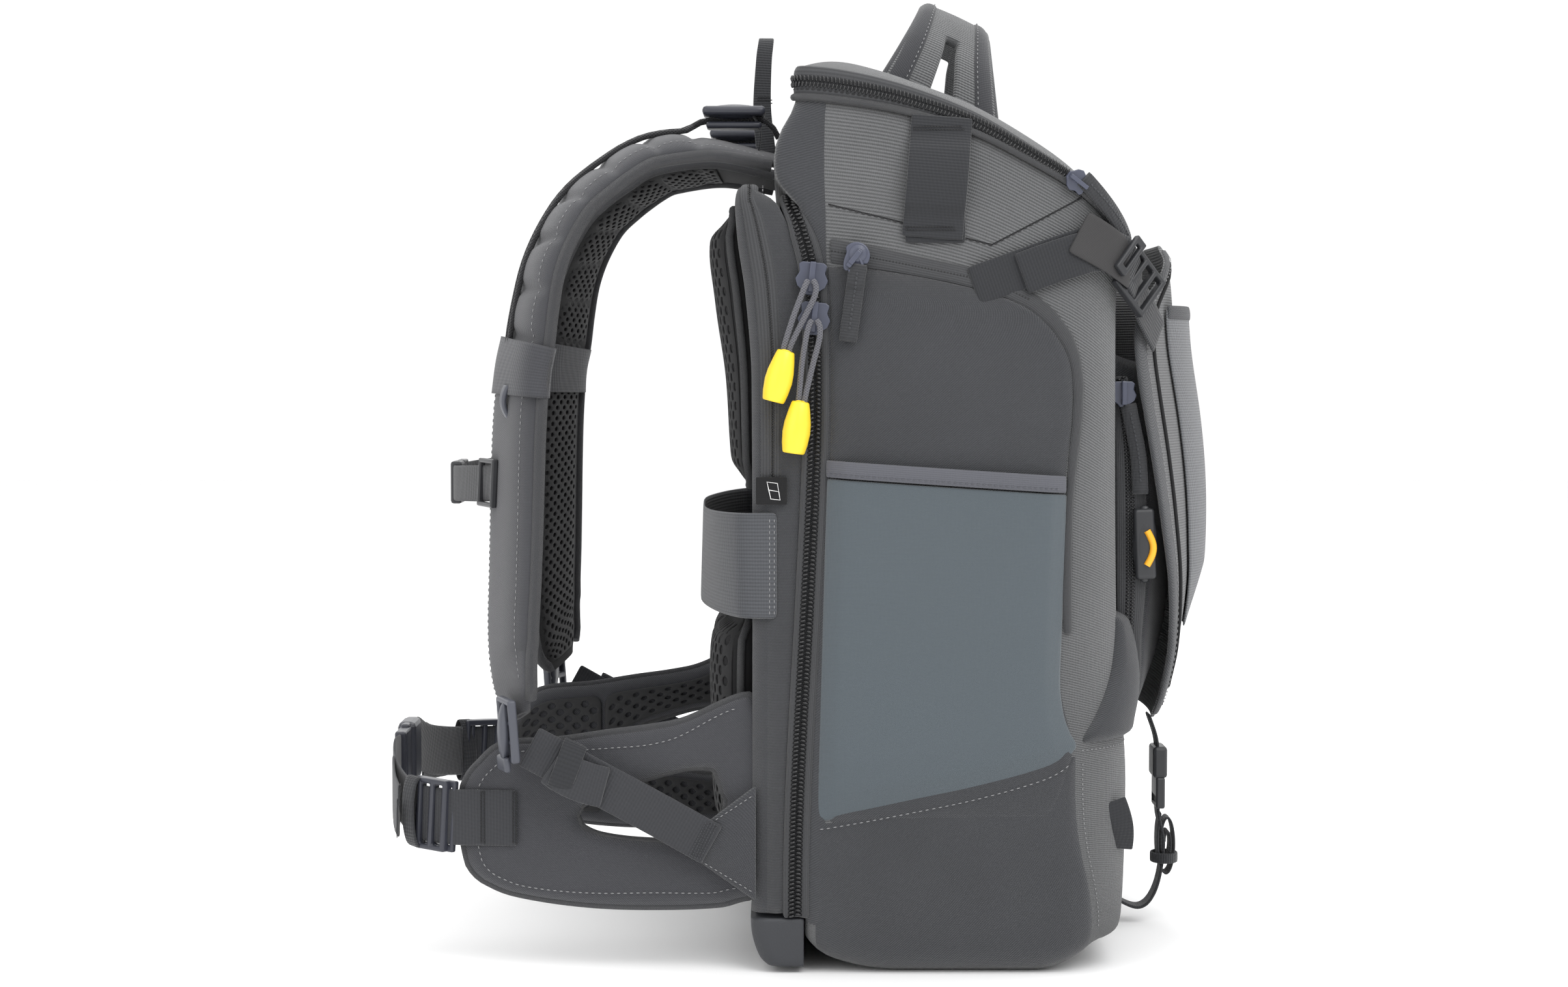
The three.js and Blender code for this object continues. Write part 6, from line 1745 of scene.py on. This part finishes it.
def outline_of(top, low, first, last, steps):
    """A closed outline in millimetres between two tables of height over the wing's length."""
    shares = [first + (last - first) * (1 - cos(pi * k / 60)) / 2 for k in range(61)]
    line = [(s * WING_REACH, read(top, s) * BAG_HEIGHT, 0) for s in shares]
    line += [(s * WING_REACH, read(low, s) * BAG_HEIGHT, 0) for s in shares[::-1]]
    return evenly(line, steps)


def polar(line):
    """Distance of a closed outline from the slot's middle in any direction."""
    arms = [(p.x - WING_CENTRE[0], p.y - WING_CENTRE[1]) for p in line]
    rows = sorted((atan2(z, y), hypot(y, z)) for y, z in arms)
    rows = [(rows[-1][0] - 2 * pi, rows[-1][1])] + rows + [(rows[0][0] + 2 * pi, rows[0][1])]

    def reach(angle):
        i = 0
        while rows[i + 1][0] < angle:
            i += 1
        (a, ra), (b, rb) = rows[i], rows[i + 1]
        return ra + (rb - ra) * (angle - a) / max(1e-9, b - a)
    return reach


wing_line = outline_of(WING_TOP, WING_LOW, 0.0, 1.0, 400)
outer_reach, slot_reach = polar(wing_line), polar(outline_of(SLOT_TOP, SLOT_LOW, 0.08, 0.59, 300))


def wing_angle(u):
    """Directions round the wing, closer together where its outline turns sharply."""
    return (2 * pi * u + 0.10 * sin(4 * pi * u)) % (2 * pi) - pi


def wing_spot(u, distance_in=None, share=None):
    """A place between the slot's edge and the outline: by share, or by distance inside the outline."""
    angle = wing_angle(u)
    near, far = slot_reach(angle), outer_reach(angle)
    r = far - distance_in if share is None else near + (far - near) * share
    return WING_CENTRE[0] + r * cos(angle), WING_CENTRE[1] + r * sin(angle), min(r - near, far - r)


wing_twill = fabric("wing_twill", (0.054, 0.055, 0.062), "twill", 0.9, 0.22)
slot_edge = fabric("overlocked_edge", (0.042, 0.043, 0.048), "webbing", 1.3, 0.35)
for side, hand in SIDES:
    def wing_point(u, v):
        face = 1 if v < 0.5 else -1
        w = v * 2 if v < 0.5 else 2 - v * 2
        share = (1 - cos(pi * w)) / 2
        y, z, inside = wing_spot(u % 1, share=share)
        e = min(1, inside / 8)
        off = face * ((WING_THICK / 2 - 0.4) * sqrt(max(0, 1 - (1 - e) ** 2)) + (0.8 if inside > 20 else 0.04 * inside))
        return on_wing(y, z, off * (0.9 if face < 0 else 1), side)
    form = closed(cloth_grid(200, 44, wing_point), poles=False)
    layer = form.loops.layers.uv.verify()
    for face in form.faces:
        for loop in face.loops:
            loop[layer].uv = (loop.vert.co.y, loop.vert.co.z)
    wing = object_of(f"wing_{hand}", form, wing_twill)
    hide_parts(f"hip_wing_{hand}")
    count = 220
    round_wing = [on_wing(*wing_spot(k / count, distance_in=0.6)[:2], 0.6, side) for k in range(count)]
    curve_of(f"wing_piping_{hand}", round_wing + [round_wing[0]], 2.4, strap_welt, 4)
    round_slot = [on_wing(*wing_spot(k / count, share=0.008)[:2], 0, side) for k in range(count)]
    curve_of(f"slot_edge_{hand}", round_slot + [round_slot[0]], 2.0, slot_edge, 3)
    spots = [wing_spot(k / count, distance_in=8.5) for k in range(count)]
    row = [(on_wing(y, z, WING_THICK / 2 + 0.75, side), Vector((side, 0, 0))) for y, z, _ in spots if y > 6]
    start = max(range(len(row)), key=lambda k: (row[k][0] - row[k - 1][0]).length)
    stitch_row(f"wing_stitches_{hand}", row[start:] + row[:start], pale_thread, 3.4, 2.3, 0.34)
    # Air mesh on the inner face, over, under and in front of the slot
    for word, first, last, under, over, columns, rows in (
            ("upper", 0.03, 0.6, (SLOT_TOP, 4), (WING_TOP, -7), 9, 3),
            ("lower", 0.03, 0.6, (WING_LOW, 7), (SLOT_LOW, -4), 9, 3),
            ("front", 0.61, 0.94, (WING_LOW, 7), (WING_TOP, -7), 5, 8)):
        def patch_point(u, v):
            s = first + (last - first) * u
            low, high = (read(table, max(table[0][0], s)) * BAG_HEIGHT + gap for table, gap in (under, over))
            return on_wing(s * WING_REACH, low + (high - low) * v, -WING_THICK / 2 - 1.0, side)
        net(f"wing_mesh_{word}_{hand}", columns, rows, patch_point, 1.0, knit_black)

# ---- Belt webbing and its buckle
# Wide webbing from each wing through an adjuster, where its spare length is folded, to a side
# release buckle in front.
BELT_Z, BUCKLE_Z, BELT_FRONT = 0.178 * BAG_HEIGHT, 0.212 * BAG_HEIGHT, STRAP_BASE + 200.0
belt_webbing = woven("belt_webbing", (0.033, 0.034, 0.038), 1.7)
for side, hand in SIDES:
    def belt_face(y):
        return BELT_SPREAD - 9 * (y / WING_REACH) ** 2 + WING_THICK / 2 + 1.8
    tip = WING_REACH
    path = [(side * x, y, z) for x, y, z in (
        (belt_face(tip - 32), WING_ROOT + tip - 32, BELT_Z), (belt_face(tip - 12), WING_ROOT + tip - 12, BELT_Z),
        (belt_face(tip) - 1.2, WING_ROOT + tip + 3, BELT_Z), (118.5, WING_ROOT + tip + 22, BELT_Z + 1),
        (96, BELT_FRONT - 11, BELT_Z + 4), (69, BELT_FRONT - 3, BELT_Z + 9), (49.5, BELT_FRONT, BUCKLE_Z),
        (28.5, BELT_FRONT, BUCKLE_Z))]
    line = smooth_line(path, 90)
    ribbon = strap(f"belt_webbing_{hand}", line, (0, 0, 1), 30, belt_webbing)
    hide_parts(f"hip_strap_{hand}")
    for k, back in enumerate((31, 14)):
        spot = (side * (belt_face(tip - back) + 1.2), WING_ROOT + tip - back, BELT_Z)
        bar_tack(f"belt_tack_{k}_{hand}", spot, (0, 0, 1), (0, 1, 0), 28, black_thread, 2)
    a, b = Vector(path[2]), Vector(path[3])
    middle, along = (a + b) / 2, (b - a).normalized()
    out = Vector((side, 0, 0)) - along * along.dot(Vector((side, 0, 0)))
    frame_plate = plate_of([-19, -16.2, 16.2, 19], [-10, -7, -1.6, 1.6, 7, 10], {(1, 1), (1, 3)}, 5.4, 1.1,
                           middle + out.normalized() * 1.4, along, out)
    wings_plate = plate_of([-19, -15.5, 15.5, 19], [-13.5, -11, 11, 13.5], {(1, 1)}, 3.4, 0.9,
                           middle - out.normalized() * 1.0, along, out)
    adjuster = object_of(f"belt_adjuster_{hand}", join(frame_plate, wings_plate), lock_slate, smooth=False)
    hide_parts(f"hip_adjuster_{hand}")
    # Spare webbing folded back on itself in front of the adjuster
    fold = []
    for k in range(41):
        t = k / 40
        point = line[min(90, int(44 + 26 * abs(1 - 2 * t) ** 1.4))]
        fold.append(point + Vector((side * (3.0 + 9.5 * sin(pi * t) ** 1.5 + 3.2 * (t > 0.5) * (t - 0.5)),
                                    3.0 * sin(pi * t), -4.5 + 5 * t)))
    strap(f"belt_fold_{hand}", fold, (0, 0, 1), 29, belt_webbing, thickness=1.5)
    loop_at = line[34]
    way = (line[36] - line[32]).normalized()
    outward = (Vector((side, 0, 0)) - way * way.dot(Vector((side, 0, 0)))).normalized()
    ring = [loop_at + outward * (2.4 + 4.6 * sin(a)) + Vector((0, 0, 18.5 * cos(a))) for a in ONCE_ROUND]
    strap(f"belt_keeper_{hand}", ring, way, 11, loop_webbing, thickness=1.4, columns=4)

body = plate_of([-18, -15, 15, 18], [-28, -24, -2, 1], set(), 10.5, 3.2, (0, BELT_FRONT, BUCKLE_Z), (-1, 0, 0),
                (0, 1, 0))
tongue = plate_of([-16, -13.5, -6, 6, 13.5, 16], [-28, -24.5, -19.5, -16, 0], {(1, 1), (2, 1), (3, 1)}, 6.4, 1.3,
                  (0, BELT_FRONT, BUCKLE_Z), (1, 0, 0), (0, 1, 0))
arms = [plate_of([-2.6, 2.6], [-15, 15], set(), 5.0, 1.4, (7, BELT_FRONT, BUCKLE_Z + dz), (1, 0, 0), (0, 1, 0))
        for dz in (-15.2, 15.2)]
clip = object_of("belt_clip", join(body, tongue, *arms), lock_slate, smooth=False)
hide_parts("hip_buckle")

# ---- Feet of the shoulder straps
# A triangle of twill is sewn into the corner of the case. Webbing is caught in it with a bar
# tack and runs up through a ladder lock on the strap, with its end folded under a keeper.
GUSSET_BASE, GUSSET_REACH = case_rear(0) + 0.7, 31.5
gusset_side = case_half(0.15 * BAG_HEIGHT) + 0.4
for side, hand in SIDES:
    def gusset_point(u, v):
        low, high = 0.086 * BAG_HEIGHT, 0.22 * BAG_HEIGHT
        tip_low, tip_high = 0.139 * BAG_HEIGHT, 0.163 * BAG_HEIGHT
        y = -3 + (3 + GUSSET_REACH) * u
        z = (low + (tip_low - low) * u) * (1 - v) + (high + (tip_high - high) * u) * v
        return Vector((side * (gusset_side + 1.4 + 1.5 * sin(pi * v) * (1 - u)), GUSSET_BASE + y, z))
    triangle = cloth_piece(f"strap_gusset_{hand}", cloth_grid(16, 18, gusset_point, (side, 0, 0)), dark_twill, 2.2,
                           1, 0.0)
    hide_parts(f"gusset_{hand}")
    for word, v in (("", 0.93), ("low_", 0.07)):
        edge = [(gusset_point(0.05 + 0.9 * k / 12, v) + Vector((side * 1.6, 0, 0)), Vector((side, 0, 0)))
                for k in range(13)]
        stitch_row(f"gusset_stitches_{word}{hand}", edge, pale_thread, 3.0, 2.0, 0.3)
    outside = gusset_side + 4.0
    path = [(side * (outside + x), y, share * BAG_HEIGHT) for x, y, share in (
        (0, GUSSET_BASE + 20, 0.152), (0.6, GUSSET_BASE + GUSSET_REACH + 22, 0.193),
        (2, GUSSET_BASE + GUSSET_REACH + 62, 0.24),
        (3.6, STRAP_BASE + 0.8 * STRAP_REACH, 0.266))]
    line = smooth_line(path, 48)
    lower = strap(f"foot_webbing_{hand}", line, (0, -0.35, 0.94), 23, belt_webbing)
    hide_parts(f"lower_webbing_{hand}")
    tack = Vector((side * (outside + 1.2), GUSSET_BASE + 24.5, 0.158 * BAG_HEIGHT))
    bar_tack(f"foot_tack_{hand}", tack, (0, -0.45, 0.89), (0, 0.89, 0.45), 20, webbing_grey, 5, 1.5)
    # Folded end with its keeper
    end = [line[28 + k] + Vector((side * (2.6 + 2.2 * sin(pi * k / 14)), 0, -3.5 * sin(pi * k / 20)))
           for k in range(15)]
    strap(f"foot_fold_{hand}", end, (0, -0.35, 0.94), 22, belt_webbing, thickness=1.5)
    spot = line[38]
    way = (line[39] - line[37]).normalized()
    rise = Vector((0, -0.35, 0.94)).normalized()
    ring = [spot + Vector((side * (2.4 + 3.4 * sin(a)), 0, 0)) + rise * 13.6 * cos(a) for a in ONCE_ROUND]
    strap(f"foot_keeper_{hand}", ring, way, 13, loop_webbing, thickness=1.4, columns=4)
    # The ladder lock, slate, with its release lip
    foot = on_strap(1, 12.9, 9.4, side) + Vector((0, 0, -8))
    frame_plate = plate_of([-13, -10, 10, 13], [-16, -12.5, -6.5, -3.5, 3.5, 6.5, 14, 17], {(1, 1), (1, 3), (1, 5)},
                           4.6, 1.2, foot, (0, 0, 1), strap_out(1, side))
    lip = plate_of([-9, -5, 5, 9], [-4, 0, 4], set(), 3.4, 1.4,
                   foot + strap_out(1, side) * 2.4 + Vector((0, 0, -17)), (0, 0, 1), strap_out(1, side))
    add_ball(frame_plate, foot + strap_out(1, side) * 1.5, (11, 4.2, 16))
    lock = object_of(f"foot_lock_{hand}", join(frame_plate, lip), hook_slate)
    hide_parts(f"ladder_lock_{hand}")
